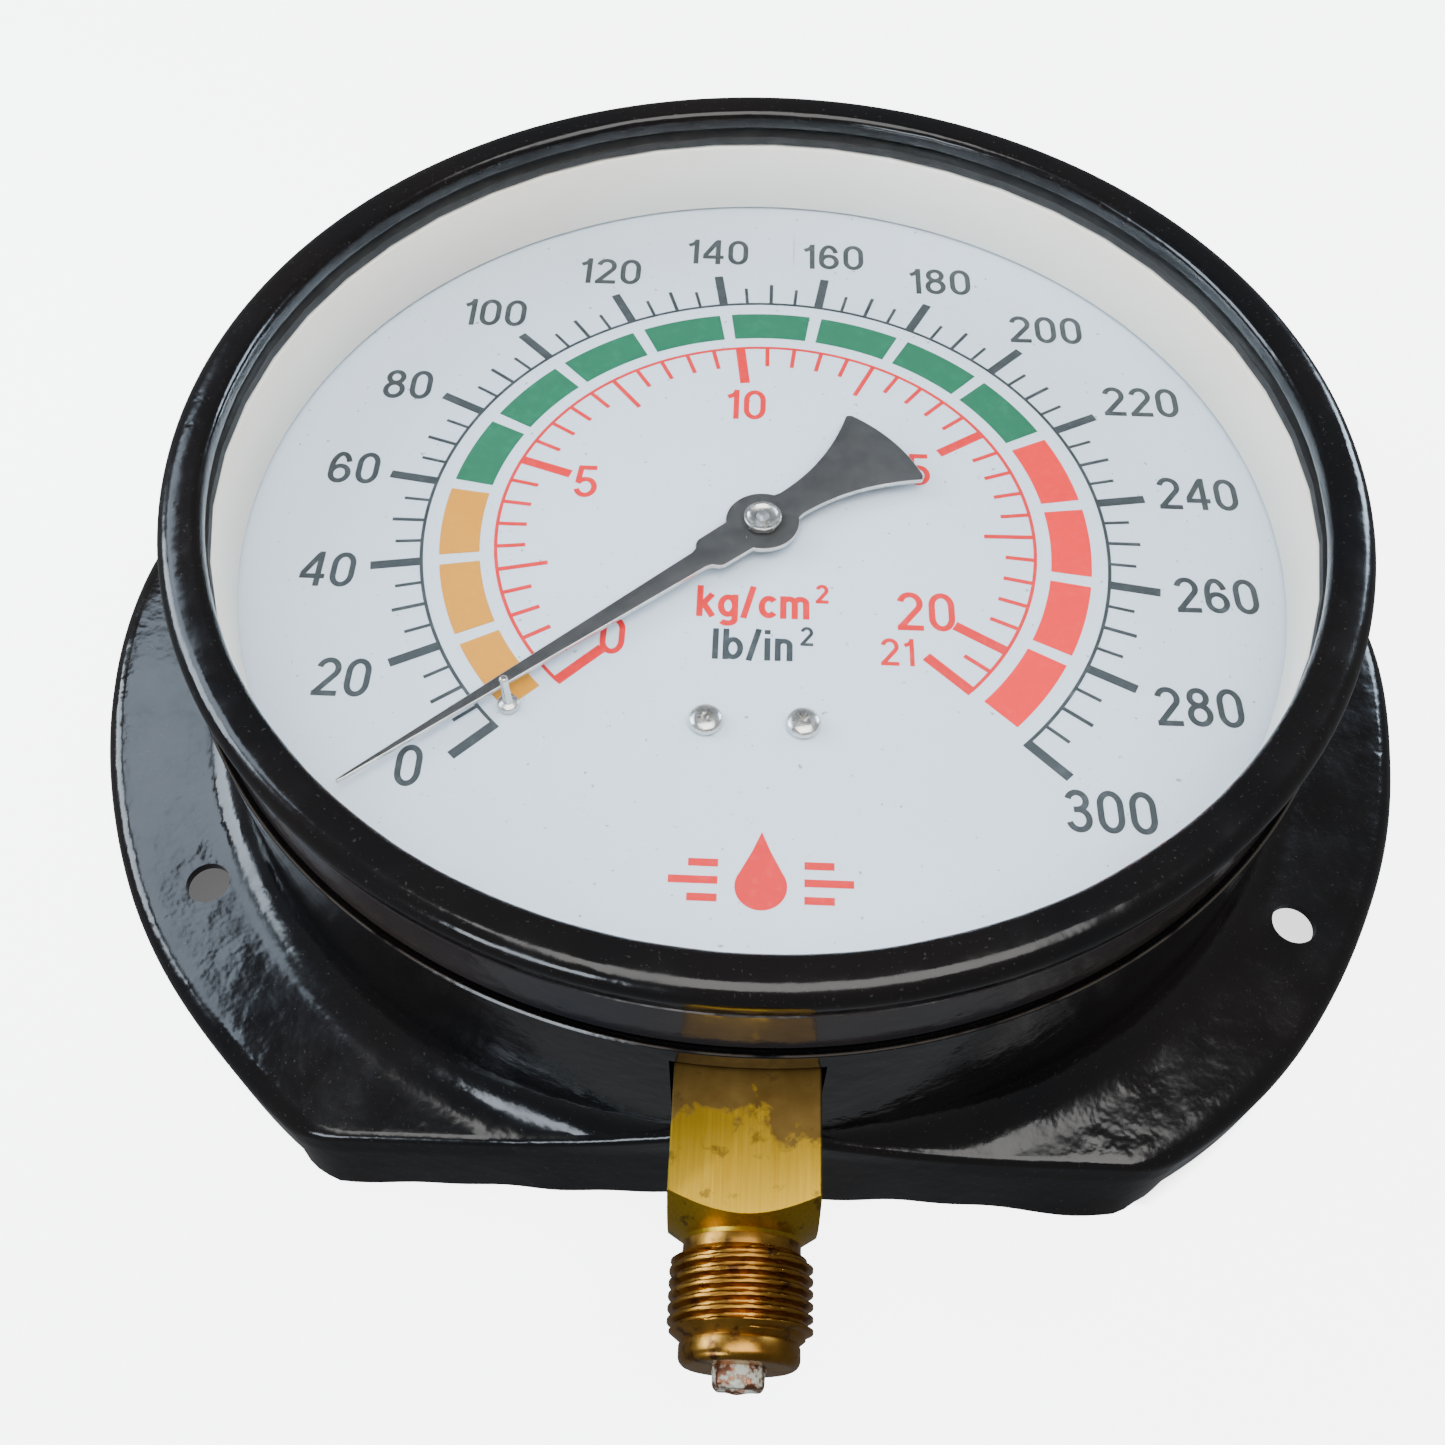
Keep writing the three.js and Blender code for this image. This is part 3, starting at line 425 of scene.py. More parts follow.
def spun(section, steps, loop=False):
    # turns (radius, height) points round Z; a radius of 0 makes a pole
    bm = bmesh.new()
    rows = []
    for radius, height in section:
        if radius < 1e-6:
            rows.append([bm.verts.new((0, 0, height * mm))])
            continue
        around = (polar(radius * mm, 360 * k / steps) for k in range(steps))
        rows.append([bm.verts.new((x, y, height * mm)) for x, y in around])
    pairs = list(zip(rows, rows[1:]))
    if loop:
        pairs.append((rows[-1], rows[0]))
    for low, high in pairs:
        for k in range(steps):
            following = (k + 1) % steps
            if len(low) == 1:
                bm.faces.new((low[0], high[following], high[k]))
            elif len(high) == 1:
                bm.faces.new((low[k], low[following], high[0]))
            else:
                bm.faces.new((low[k], low[following], high[following], high[k]))
    bmesh.ops.recalc_face_normals(bm, faces=bm.faces)
    return bm


def slab(outline, low, high):
    # a flat outline of (x, y) points, given a thickness
    bm = bmesh.new()
    bottom = [bm.verts.new((x * mm, y * mm, low * mm)) for x, y in outline]
    top = [bm.verts.new((x * mm, y * mm, high * mm)) for x, y in outline]
    bm.faces.new(list(reversed(bottom)))
    bm.faces.new(top)
    for k in range(len(outline)):
        following = (k + 1) % len(outline)
        bm.faces.new((bottom[k], bottom[following], top[following], top[k]))
    bmesh.ops.recalc_face_normals(bm, faces=bm.faces)
    return bm


def brick(low, high):
    corners = [(low[0], low[1]), (high[0], low[1]), (high[0], high[1]), (low[0], high[1])]
    return slab(corners, low[2], high[2])


def scratch(bm, name="scratch"):
    mesh = bpy.data.meshes.new(name)
    bm.to_mesh(mesh)
    bm.free()
    thing = bpy.data.objects.new(name, mesh)
    bpy.context.scene.collection.objects.link(thing)
    return thing


def baked(thing):
    # the evaluated shape of a scratch object as a bmesh; the object goes
    dg = bpy.context.evaluated_depsgraph_get()
    mesh = bpy.data.meshes.new_from_object(thing.evaluated_get(dg))
    bm = bmesh.new()
    bm.from_mesh(mesh)
    bpy.data.objects.remove(thing)
    bpy.data.meshes.remove(mesh)
    return bm


def carved(bm, tools, operation="DIFFERENCE"):
    body = scratch(bm)
    cutters = [scratch(tool) for tool in tools]
    for cutter in cutters:
        step = body.modifiers.new("carve", "BOOLEAN")
        step.operation = operation
        step.solver = "EXACT"
        step.object = cutter
    result = baked(body)
    for cutter in cutters:
        bpy.data.objects.remove(cutter)
    return result


def softened(bm, width, segments, angle=35):
    body = scratch(bm)
    step = body.modifiers.new("soften", "BEVEL")
    step.width = width * mm
    step.segments = segments
    step.limit_method = "ANGLE"
    step.angle_limit = math.radians(angle)
    step.harden_normals = False
    return baked(body)


def merged(parts):
    whole = bmesh.new()
    for part in parts:
        mesh = bpy.data.meshes.new("merging")
        part.to_mesh(mesh)
        part.free()
        whole.from_mesh(mesh)
        bpy.data.meshes.remove(mesh)
    return whole


def moved(bm, offset=(0, 0, 0), turn=None):
    if turn:
        bmesh.ops.transform(bm, matrix=turn, verts=bm.verts)
    bmesh.ops.translate(bm, verts=bm.verts, vec=Vector(offset) * mm)
    return bm


def finished(bm, name, material, body, stands=(), crease=40):
    # the final mesh as a named piece that rides on its body
    mesh = bpy.data.meshes.new(name)
    bm.to_mesh(mesh)
    bm.free()
    materials = material if isinstance(material, (list, tuple)) else [material]
    for each in materials:
        mesh.materials.append(each)
    mesh.shade_smooth()
    mesh.set_sharp_from_angle(angle=math.radians(crease))
    piece = bpy.data.objects.new(name, mesh)
    bpy.context.scene.collection.objects.link(piece)
    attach(piece, body)
    if stands:
        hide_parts(*stands)
    return piece


# bezel

bezel = {
    "skirtInner": 82.9, "outerLow": 83.45, "outerHigh": 83.95, "wall": 0.8, "opening": 77.8,
    "low": 56.7, "top": 62.0, "shoulder": 2.4, "nose": 1.4, "glass": 58.7, "steps": 288,
}


def makeBezel():
    b = bezel
    outer, foot = b["outerHigh"], b["outerLow"]
    top, shoulder, nose, wall = b["top"], b["shoulder"], b["nose"], b["wall"]
    noseCentre = (b["opening"] + nose, top - nose - 0.15)
    shoulderCentre = (outer - shoulder, top - shoulder)
    section = [
        (b["skirtInner"], b["low"] + 0.1),
        (b["skirtInner"] + 0.1, b["low"]),
        (foot - 0.12, b["low"]),
        (foot, b["low"] + 0.12),
        (foot + 0.12, b["low"] + 0.8),
        (outer - 0.1, b["low"] + 2.2),
        *bow(shoulderCentre, shoulder, 0, 90, 12),
        (80.3, top - 0.02),
        *bow(noseCentre, nose, 90, 180, 10),
        (b["opening"], b["glass"] + 0.75),
        (b["opening"] + 0.12, b["glass"] + 0.35),
        (b["opening"] + wall, b["glass"] + 0.35),
        *bow(noseCentre, nose - wall, 180, 90, 4),
        *bow(shoulderCentre, shoulder - wall, 90, 0, 6),
        (b["skirtInner"], b["low"] + 1.7),
    ]
    bm = spun(section, b["steps"], loop=True)
    for vert in bm.verts:  # the lip is rolled in by a tool, so it wanders a little
        radius = math.hypot(vert.co.x, vert.co.y)
        inward = max(0.0, 1 - abs(radius - b["opening"] * mm) / (1.2 * mm))
        wander = noise.noise(vert.co * 90) * 0.10 + noise.noise(vert.co * 420) * 0.045
        scale = 1 + wander * mm * inward / radius
        vert.co.x *= scale
        vert.co.y *= scale
    finished(bm, "bezel_ring", bezelEnamel, "case", ["bezel"], 60)


# case cup

caseCup = {
    "radius": 82.6, "wall": 1.2, "corner": 6.0, "height": 58.4,
    "bead": 83.35, "beadLow": 46.6, "beadHigh": 56.4,
    "openHalf": 9.4, "openLow": 24.1, "openHigh": 42.9, "steps": 288,
}


def makeCase():
    c = caseCup
    inside = c["radius"] - c["wall"]
    bend = (c["radius"] - c["corner"], c["corner"])
    section = [
        (0, 0), (40, 0),
        *bow(bend, c["corner"], -90, 0, 10),
        (c["radius"], 44), (c["radius"], c["beadLow"] - 0.3), (c["bead"] - 0.15, c["beadLow"]),
        (c["bead"], c["beadLow"] + 0.2), (c["bead"], c["beadHigh"] - 0.4), (c["radius"], c["beadHigh"]),
        (c["radius"], c["height"] - 0.3),
        (c["radius"] - 0.3, c["height"]), (inside + 0.3, c["height"]), (inside, c["height"] - 0.3),
        *bow(bend, c["corner"] - c["wall"], 0, -90, 8),
        (40, c["wall"]), (0, c["wall"]),
    ]
    half = c["openHalf"]
    tools = [brick((-half, -90, c["openLow"]), (half, -70, c["openHigh"]))]
    for name in ("case_screw_left", "case_screw_right"):
        low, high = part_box(name)
        spot = ((low[0] + high[0]) / 2 / mm, (low[1] + high[1]) / 2 / mm, 0)
        hole = spun([(0, -1), (2.2, -1), (2.2, 0.15), (1.15, 1.2), (1.15, 3), (0, 3)], 32)
        tools.append(moved(hole, spot))
    bm = carved(spun(section, c["steps"]), tools)
    finished(bm, "case_shell", litCaseEnamel, "case", ["case_cup"], 30)


# mounting flange

flange = {
    "collar": 84.4, "wall": 1.5, "top": 46.4, "face": 12.0, "fillet": 7.5,
    "rim": 106.0, "rimBend": 3.0, "chord": 85.5, "chordBend": 1.3, "lean": 10.5,
    "neckIn": 3.3, "neckSpan": 28.0, "cornerAngle": 34.0, "steps": 360,
    "holeRadius": 3.25, "holeCircle": 95.0, "holeAngles": (90, 210, 330),
    "openHalf": 9.4, "openLow": 24.1, "openHigh": 42.9,
    "swells": ((172, 24, 3.2), (3, 9, 1.3), (-30, 12, -1.3), (-124, 9, 1.7)),
}


def flangeEdge(degrees):
    # how far out the flange reaches along a ray, and how much of that is the flat front edge
    f = flange
    fromFront = abs((degrees - 270 + 180) % 360 - 180)
    away = min(1.0, max(0.0, (fromFront - f["cornerAngle"]) / f["neckSpan"]))
    circle = f["rim"] - f["neckIn"] * (1 - away) ** 1.6
    signed = (degrees + 180) % 360 - 180
    for centre, spread, swell in f["swells"]:  # the pressed rim isn't quite round
        apart = (signed - centre + 180) % 360 - 180
        circle += swell * math.exp(-(apart / spread) ** 2)
    if fromFront > 80:
        return circle, 0.0
    chord = f["chord"] / math.cos(math.radians(fromFront))
    blend = 2.2
    share = min(1.0, max(0.0, 0.5 + 0.5 * (circle - chord) / blend))
    reach = circle * (1 - share) + chord * share - blend * share * (1 - share)
    return reach, share


def flangeProfile(degrees):
    f = flange
    edge, share = flangeEdge(degrees)
    fromFront = math.radians(abs((degrees - 270 + 180) % 360 - 180))
    tilt = max(0.3, math.cos(fromFront)) if share > 0 else 1.0
    bend = f["rimBend"] * (1 - share) + f["chordBend"] / tilt * share
    centre = f["collar"] + f["fillet"]
    topOfFillet = f["face"] + f["fillet"]
    stop = edge - bend

    def surface(radius):
        if radius >= centre:
            return f["face"]
        return topOfFillet - math.sqrt(max(0.0, f["fillet"] ** 2 - (centre - radius) ** 2))

    points = [(f["collar"] - 0.25, f["top"]), (f["collar"], f["top"] - 0.25)]
    straight = f["top"] - topOfFillet - 0.25
    points += [(f["collar"], f["top"] - 0.25 - straight * k / 6) for k in range(1, 7)]
    reach = min(centre, stop)
    fullTurn = math.degrees(math.acos(max(-1.0, min(1.0, (centre - reach) / f["fillet"]))))
    for k in range(1, 11):
        turn = math.radians(fullTurn * k / 10)
        radius = centre - f["fillet"] * math.cos(turn)
        points.append((radius, topOfFillet - f["fillet"] * math.sin(turn)))
    for k in range(1, 7):
        radius = reach + (stop - reach) * k / 6
        points.append((radius, surface(radius)))
    level = surface(stop)
    drop = min(bend, f["rimBend"]) if share < 0.5 else f["chordBend"]
    for k in range(1, 7):
        turn = math.radians(15 * k)
        points.append((stop + bend * math.sin(turn), level - drop * (1 - math.cos(turn))))
    foot = level - drop
    slope = math.tan(math.radians(f["lean"])) * share / tilt
    across = edge * math.sin(math.radians(degrees + 90)) if share > 0 else 0.0
    wave = lipWave(across, share)
    for k in range(1, 9):
        height = foot * (1 - k / 8)
        below = max(0.0, f["face"] - height)
        curl = wave * (k / 8) ** 2
        points.append((edge + below * slope + curl, height))
    return points


def lipWave(across, share):
    # the front lip's lower edge wanders near its right-hand end
    bulge = 1.3 * math.exp(-((across - 47) / 6.5) ** 2) - 0.7 * math.exp(-((across - 55) / 2.2) ** 2)
    ripple = 0.18 * math.sin(across * 0.21) + 0.12 * math.sin(across * 0.47 + 1)
    return (bulge + ripple) * share


def makeFlange():
    f = flange
    bm = bmesh.new()
    rows = []
    for k in range(f["steps"]):
        degrees = 360 * k / f["steps"]
        row = []
        for radius, height in flangeProfile(degrees):
            x, y = polar(radius, degrees)
            row.append(bm.verts.new((x * mm, y * mm, height * mm)))
        rows.append(row)
    for row, following in zip(rows, rows[1:] + rows[:1]):
        for k in range(len(row) - 1):
            bm.faces.new((row[k], row[k + 1], following[k + 1], following[k]))
    for vert in bm.verts:  # pressed sheet is never quite flat
        radius = math.hypot(vert.co.x, vert.co.y) / mm
        if radius > f["collar"] + 2 and vert.co.z > 0.009:
            vert.co.z += noise.noise(vert.co * 55) * 0.16 * mm + noise.noise(vert.co * 160) * 0.04 * mm
    bmesh.ops.recalc_face_normals(bm, faces=bm.faces)
    if sum(face.normal.z for face in bm.faces if face.calc_center_median().z > 0.0115) < 0:
        bmesh.ops.reverse_faces(bm, faces=bm.faces)
    shell = scratch(bm)
    step = shell.modifiers.new("thickness", "SOLIDIFY")
    step.thickness = f["wall"] * mm
    step.offset = -1
    solid = baked(shell)
    half = f["openHalf"]
    tools = [brick((-half, -100, f["openLow"]), (half, -70, f["openHigh"]))]
    for angle in f["holeAngles"]:
        x, y = polar(f["holeCircle"], angle)
        hole = spun([(0, 5), (f["holeRadius"], 5), (f["holeRadius"], 16), (0, 16)], 48)
        tools.append(moved(hole, (x, y, 0)))
    bm = carved(solid, tools)
    finished(bm, "flange_plate", flangeEnamel, "case", ["mounting_flange"], 32)


makeBezel()
makeCase()
makeFlange()
print("bezel, case and flange are pressed")


# window and the cream ring under it

glassRing = {"radius": 80.9, "low": 55.7, "high": 58.7, "edge": 0.3}
creamRing = {"inner": 78.0, "wall": 1.2, "outer": 80.9, "low": 41.3, "high": 53.7}


def makeWindow():
    g = glassRing
    section = [
        (0, g["low"]), (g["radius"] - g["edge"], g["low"]), (g["radius"], g["low"] + g["edge"]),
        (g["radius"], g["high"] - g["edge"]), (g["radius"] - g["edge"], g["high"]), (0, g["high"]),
    ]
    finished(spun(section, 192), "window_pane", pane, "case", ["window_glass"], 30)


def makeCreamRing():
    c = creamRing
    lip = c["high"] - c["wall"]
    section = [
        (c["inner"], c["low"] + 0.3), (c["inner"] + 0.3, c["low"]),
        (c["inner"] + c["wall"], c["low"]), (c["inner"] + c["wall"], lip),
        (c["outer"], lip), (c["outer"], c["high"]), (c["inner"] + 0.5, c["high"]),
        (c["inner"] + 0.1, c["high"] - 0.25), (c["inner"], c["high"] - 0.6),
    ]
    bm = spun(section, 256, loop=True)
    finished(bm, "cream_ring", cream, "case", ["spacer_ring"], 50)


# dial plate

dial = {"radius": 78.9, "low": 40.2, "face": 41.0, "unit": 52.0, "shift": (0.52, 0.10)}
fixings = {"screws": ((-7.1, -35.0), (6.4, -35.0)), "pin": polar(48.15, 224.1)}


def makeDial():
    d = dial
    section = [
        (0, d["low"]), (d["radius"] - 0.1, d["low"]), (d["radius"], d["low"] + 0.1),
        (d["radius"], d["face"] - 0.1), (d["radius"] - 0.1, d["face"]), (0, d["face"]),
    ]
    holes = [(0, 0, 2.2), (*fixings["pin"], 0.92)]
    holes += [(x, y, 1.6) for x, y in fixings["screws"]]
    tools = [
        moved(spun([(0, 39), (radius, 39), (radius, 42), (0, 42)], 32), (x, y, 0))
        for x, y, radius in holes
    ]
    bm = carved(spun(section, 192), tools)
    finished(bm, "dial_sheet", lacquer, "case", ["dial_plate"], 30)


makeWindow()
makeCreamRing()
makeDial()
print("window, cream ring and dial are in")


# the dial's printing: Geometry Nodes lay the strokes and bands, in units of the scale arc's radius

class NodeRecipe:
    # a Geometry Nodes tree under construction
    def __init__(self, name, inputs):
        self.tree = bpy.data.node_groups.new(name, "GeometryNodeTree")
        self.tree.is_modifier = True
        kinds = {int: "NodeSocketInt", float: "NodeSocketFloat", None: "NodeSocketMaterial"}
        self.sockets = {}
        for label, kind in inputs.items():
            socket = self.tree.interface.new_socket(label, in_out="INPUT", socket_type=kinds[kind])
            self.sockets[label] = socket.identifier
        self.tree.interface.new_socket("Geometry", in_out="OUTPUT", socket_type="NodeSocketGeometry")
        self.given = self.tree.nodes.new("NodeGroupInput").outputs

    def add(self, kind, inputs=None, **settings):
        node = self.tree.nodes.new(kind)
        for key, value in settings.items():
            setattr(node, key, value)
        for socket, value in (inputs or {}).items():
            if hasattr(value, "is_output"):
                self.tree.links.new(value, node.inputs[socket])
            else:
                node.inputs[socket].default_value = value
        return node

    def sum(self, kind, first, second):
        return self.add("ShaderNodeMath", {0: first, 1: second}, operation=kind).outputs[0]

    def vector(self, x, y, z):
        return self.add("ShaderNodeCombineXYZ", {0: x, 1: y, 2: z}).outputs[0]

    def around(self, radius, angle, level):
        x, y = (self.sum("MULTIPLY", radius, self.sum(kind, angle, 0.0)) for kind in ("COSINE", "SINE"))
        return self.vector(x, y, level)

    def middleHeight(self):
        return self.sum("ADD", self.given["Base"], self.sum("MULTIPLY", self.given["Thickness"], 0.5))

    def finish(self, shape):
        real = self.add("GeometryNodeRealizeInstances", {0: shape}).outputs[0]
        painted = self.add("GeometryNodeSetMaterial", {"Geometry": real, "Material": self.given["Paint"]})
        self.add("NodeGroupOutput", {0: painted.outputs[0]})

    def grow(self, **values):
        # runs the tree on a bare object and gives the result as a bmesh
        thing = bpy.data.objects.new("growing", bpy.data.meshes.new("growing"))
        bpy.context.scene.collection.objects.link(thing)
        step = thing.modifiers.new("recipe", "NODES")
        step.node_group = self.tree
        for label, value in values.items():
            step[self.sockets[label]] = value
        return baked(thing)


def strokeRecipe():
    recipe = NodeRecipe("dialStrokes", {
        "Count": int, "First": float, "Step": float, "Inner": float, "Length": float,
        "Width": float, "Base": float, "Thickness": float, "Skip": int, "Skip Offset": int, "Paint": None,
    })
    given = recipe.given
    index = recipe.add("GeometryNodeInputIndex").outputs[0]
    angle = recipe.sum("ADD", given["First"], recipe.sum("MULTIPLY", index, given["Step"]))
    middle = recipe.sum("ADD", given["Inner"], recipe.sum("MULTIPLY", given["Length"], 0.5))
    spot = recipe.around(middle, angle, recipe.middleHeight())
    line = recipe.add("GeometryNodeMeshLine", {"Count": given["Count"]}).outputs[0]
    placed = recipe.add("GeometryNodeSetPosition", {"Geometry": line, "Position": spot}).outputs[0]
    size = recipe.vector(given["Length"], given["Width"], given["Thickness"])
    stroke = recipe.add("GeometryNodeMeshCube", {"Size": size}).outputs[0]
    turn = recipe.vector(0.0, 0.0, angle)
    left = recipe.sum("FLOORED_MODULO", recipe.sum("ADD", index, given["Skip Offset"]), given["Skip"])
    keep = recipe.sum("GREATER_THAN", left, 0.5)
    copies = recipe.add("GeometryNodeInstanceOnPoints", {
        "Points": placed, "Instance": stroke, "Rotation": turn, "Selection": keep,
    }).outputs[0]
    recipe.finish(copies)
    return recipe


def bandRecipe():
    recipe = NodeRecipe("dialBands", {
        "Count": int, "First": float, "Step": float, "Inner": float, "Outer": float, "Sweep": float,
        "Facets": int, "Base": float, "Thickness": float, "Paint": None,
    })
    given = recipe.given
    width = recipe.sum("SUBTRACT", given["Outer"], given["Inner"])
    size = recipe.vector(width, given["Sweep"], given["Thickness"])
    flat = recipe.add("GeometryNodeMeshCube", {"Size": size, "Vertices Y": given["Facets"]}).outputs[0]
    split = recipe.add("ShaderNodeSeparateXYZ", {0: recipe.add("GeometryNodeInputPosition").outputs[0]})
    across, along, up = split.outputs
    middle = recipe.sum("MULTIPLY", recipe.sum("ADD", given["Inner"], given["Outer"]), 0.5)
    radius = recipe.sum("ADD", across, middle)
    bent = recipe.around(radius, along, recipe.sum("ADD", up, recipe.middleHeight()))
    segment = recipe.add("GeometryNodeSetPosition", {"Geometry": flat, "Position": bent}).outputs[0]
    index = recipe.add("GeometryNodeInputIndex").outputs[0]
    angle = recipe.sum("ADD", given["First"], recipe.sum("MULTIPLY", index, given["Step"]))
    line = recipe.add("GeometryNodeMeshLine", {"Count": given["Count"], "Offset": (0, 0, 0)}).outputs[0]
    copies = recipe.add("GeometryNodeInstanceOnPoints", {
        "Points": line, "Instance": segment, "Rotation": recipe.vector(0.0, 0.0, angle),
    }).outputs[0]
    recipe.finish(copies)
    return recipe


printing = {"base": 41.01, "film": 0.04, "start": 225.0, "sweep": 270.0, "redStep": 12.801, "gap": 2.35}
strokes = strokeRecipe()
bands = bandRecipe()


def printed(recipe, paint, count, first, step, inner, lift, **values):
    # marks every so many degrees clockwise, from a radius in units outwards
    return recipe.grow(**{
        "Count": count, "First": math.radians(printing["start"] - first), "Step": -math.radians(step),
        "Inner": inner * dial["unit"] * mm, "Base": (printing["base"] + lift) * mm,
        "Thickness": printing["film"] * mm, "Paint": paint, **values,
    })


def strokeSet(paint, count, step, inner, outer, width, first=0.0, skip=1000, skipOffset=1):
    sizes = {"Length": (outer - inner) * dial["unit"] * mm, "Width": width * mm}
    skips = {"Skip": skip, "Skip Offset": skipOffset}
    return printed(strokes, paint, count, first, step, inner, 0.0, **sizes, **skips)


def bandSet(paint, count, first, step, sweep, inner, outer, facets, lift=0.0):
    sizes = {"Sweep": math.radians(sweep), "Outer": outer * dial["unit"] * mm, "Facets": facets}
    return printed(bands, paint, count, first, step, inner, lift, **sizes)


# figures and letters are drawn as pen strokes, so that they read like plain instrument lettering
lettershape = {"wide": 0.54, "pen": 0.134, "space": 0.115, "lower": 0.73}


def curl(cx, cy, rx, ry, start, end):
    steps = max(4, int(abs(end - start) / 12))
    turns = [math.radians(start + (end - start) * k / steps) for k in range(steps + 1)]
    return [(cx + rx * math.cos(a), cy + ry * math.sin(a)) for a in turns]


def penStrokes(letter, pen):
    # the centre lines of a letter one unit high, and its width
    half = pen / 2
    wide = lettershape["wide"]
    rx, cx, top = (wide - pen) / 2, wide / 2, 1 - half
    low = lettershape["lower"]
    if letter == "0":
        loop = curl(cx, top - 0.28, rx, 0.28, 0, 180) + curl(cx, half + 0.28, rx, 0.28, 180, 360)
        return [loop + loop[:1]], wide
    if letter == "1":
        return [[(0.27, 0), (0.27, 1)], [(0.28, 0.94), (0.20, 0.82), (0.06, 0.745)]], 0.335
    if letter == "2":
        path = curl(cx, 0.70, rx, top - 0.70, 168, -32)
        return [path + [(half * 1.25, pen * 0.75)], [(0, half), (wide, half)]], wide
    if letter == "3":
        upper = curl(cx - 0.01, 0.735, rx - 0.02, top - 0.735, 165, -90)
        lower = curl(cx, 0.30, rx, 0.30 - half, 90, -165)
        return [upper, lower, [(cx - 0.09, 0.532), (cx + 0.02, 0.532)]], wide
    if letter == "4":
        slope, bar = [(0.375, 0.93), (0.055, 0.345)], [(0, 0.285), (0.56, 0.285)]
        return [[(0.405, 0), (0.405, 1)], slope, bar], 0.56
    if letter == "5":
        bowl = curl(cx - 0.005, 0.318, rx + 0.005, 0.318 - half, 152, -165)
        return [[(0.10, top), (0.50, top)], [(0.135, 0.99), (0.085, 0.45)], bowl], wide
    if letter == "6":
        hook = [(half, 0.30), (half, 0.48)] + curl(cx, 0.5, rx, top - 0.5, 180, 24)
        return [hook, curl(cx, 0.305, rx, 0.305 - half, 0, 360)], wide
    if letter == "8":
        upper = curl(cx, 0.74, rx - 0.03, top - 0.74, 0, 360)
        return [upper, curl(cx, 0.30, rx, 0.30 - half, 0, 360)], wide
    if letter == "k":
        return [[(half, 0), (half, 1)], [(half, 0.28), (0.42, low)], [(0.19, 0.42), (0.44, 0)]], 0.46
    if letter == "l":
        return [[(half, 0), (half, 1)]], pen
    if letter == "i":
        return [[(half, 0), (half, low)], [(half, 0.86), (half, 1)]], pen
    if letter == "/":
        return [[(0.03, -0.02), (0.29, 1.02)]], 0.32
    bowlWide = 0.19
    middle = low / 2
    if letter == "c":
        return [curl(half + bowlWide, middle, bowlWide, middle - half, 42, 318)], 2 * bowlWide + half
    if letter in "gb":
        bowl = curl(half + bowlWide, middle, bowlWide, middle - half, 0, 360)
        if letter == "b":
            return [[(half, 0), (half, 1)], bowl], 2 * bowlWide + pen
        right = half + 2 * bowlWide
        tail = [(right, low), (right, -0.04)] + curl(half + bowlWide, -0.07, bowlWide, 0.13, 0, -150)
        return [bowl, tail], 2 * bowlWide + pen
    stems = 2 if letter == "m" else 1
    paths = [[(half, 0), (half, low)]]
    for k in range(stems):
        left = half + 0.31 * k
        arch = curl(left + 0.155, low - half - 0.14, 0.155, 0.14, 180, 0)
        paths.append(arch + [(left + 0.31, 0)])
    return paths, 0.31 * stems + pen


def ribbon(path, pen, low, high):
    # a pen stroke along a path, given a thickness
    closed = math.dist(path[0], path[-1]) < 1e-6
    points = path[:-1] if closed else path
    count = len(points)
    left, right = [], []
    for k, (x, y) in enumerate(points):
        before = points[k - 1] if closed or k else points[k]
        after = points[(k + 1) % count] if closed or k < count - 1 else points[k]
        dx, dy = after[0] - before[0], after[1] - before[1]
        length = math.hypot(dx, dy)
        nx, ny = -dy / length * pen / 2, dx / length * pen / 2
        left.append((x + nx, y + ny))
        right.append((x - nx, y - ny))
    bm = bmesh.new()
    rings = [[bm.verts.new((*p, z)) for p in side] for side, z in
             ((left, low), (right, low), (right, high), (left, high))]
    for k in range(count if closed else count - 1):
        following = (k + 1) % count
        for a, b in zip(rings, rings[1:] + rings[:1]):
            bm.faces.new((a[k], a[following], b[following], b[k]))
    if not closed:
        bm.faces.new([ring[0] for ring in rings])
        bm.faces.new([ring[-1] for ring in reversed(rings)])
    bmesh.ops.recalc_face_normals(bm, faces=bm.faces)
    return bm


def lettering(text, centre, height, width=None, pen=None):
    # pen strokes scaled to a height and a width in units round a centre in units
    pen = pen or lettershape["pen"]
    unit = dial["unit"] * mm
    strokeList, reach = [], 0.0
    for letter in text:
        paths, wide = penStrokes(letter, pen)
        strokeList += [[(x + reach, y) for x, y in path] for path in paths]
        reach += wide + lettershape["space"]
    reach -= lettershape["space"]
    high = height * unit
    across = width * unit / reach if width else high
    low = printing["base"] * mm
    parts = []
    for k, path in enumerate(strokeList):  # each stroke lies a hair over the one before
        bm = ribbon(path, pen, 0.0, 1.0)
        for vert in bm.verts:
            vert.co.x = centre[0] * unit + (vert.co.x - reach / 2) * across
            vert.co.y = centre[1] * unit + (vert.co.y - 0.5) * high
            vert.co.z = low + (vert.co.z * printing["film"] + k * 0.002) * mm
        parts.append(bm)
    return merged(parts)


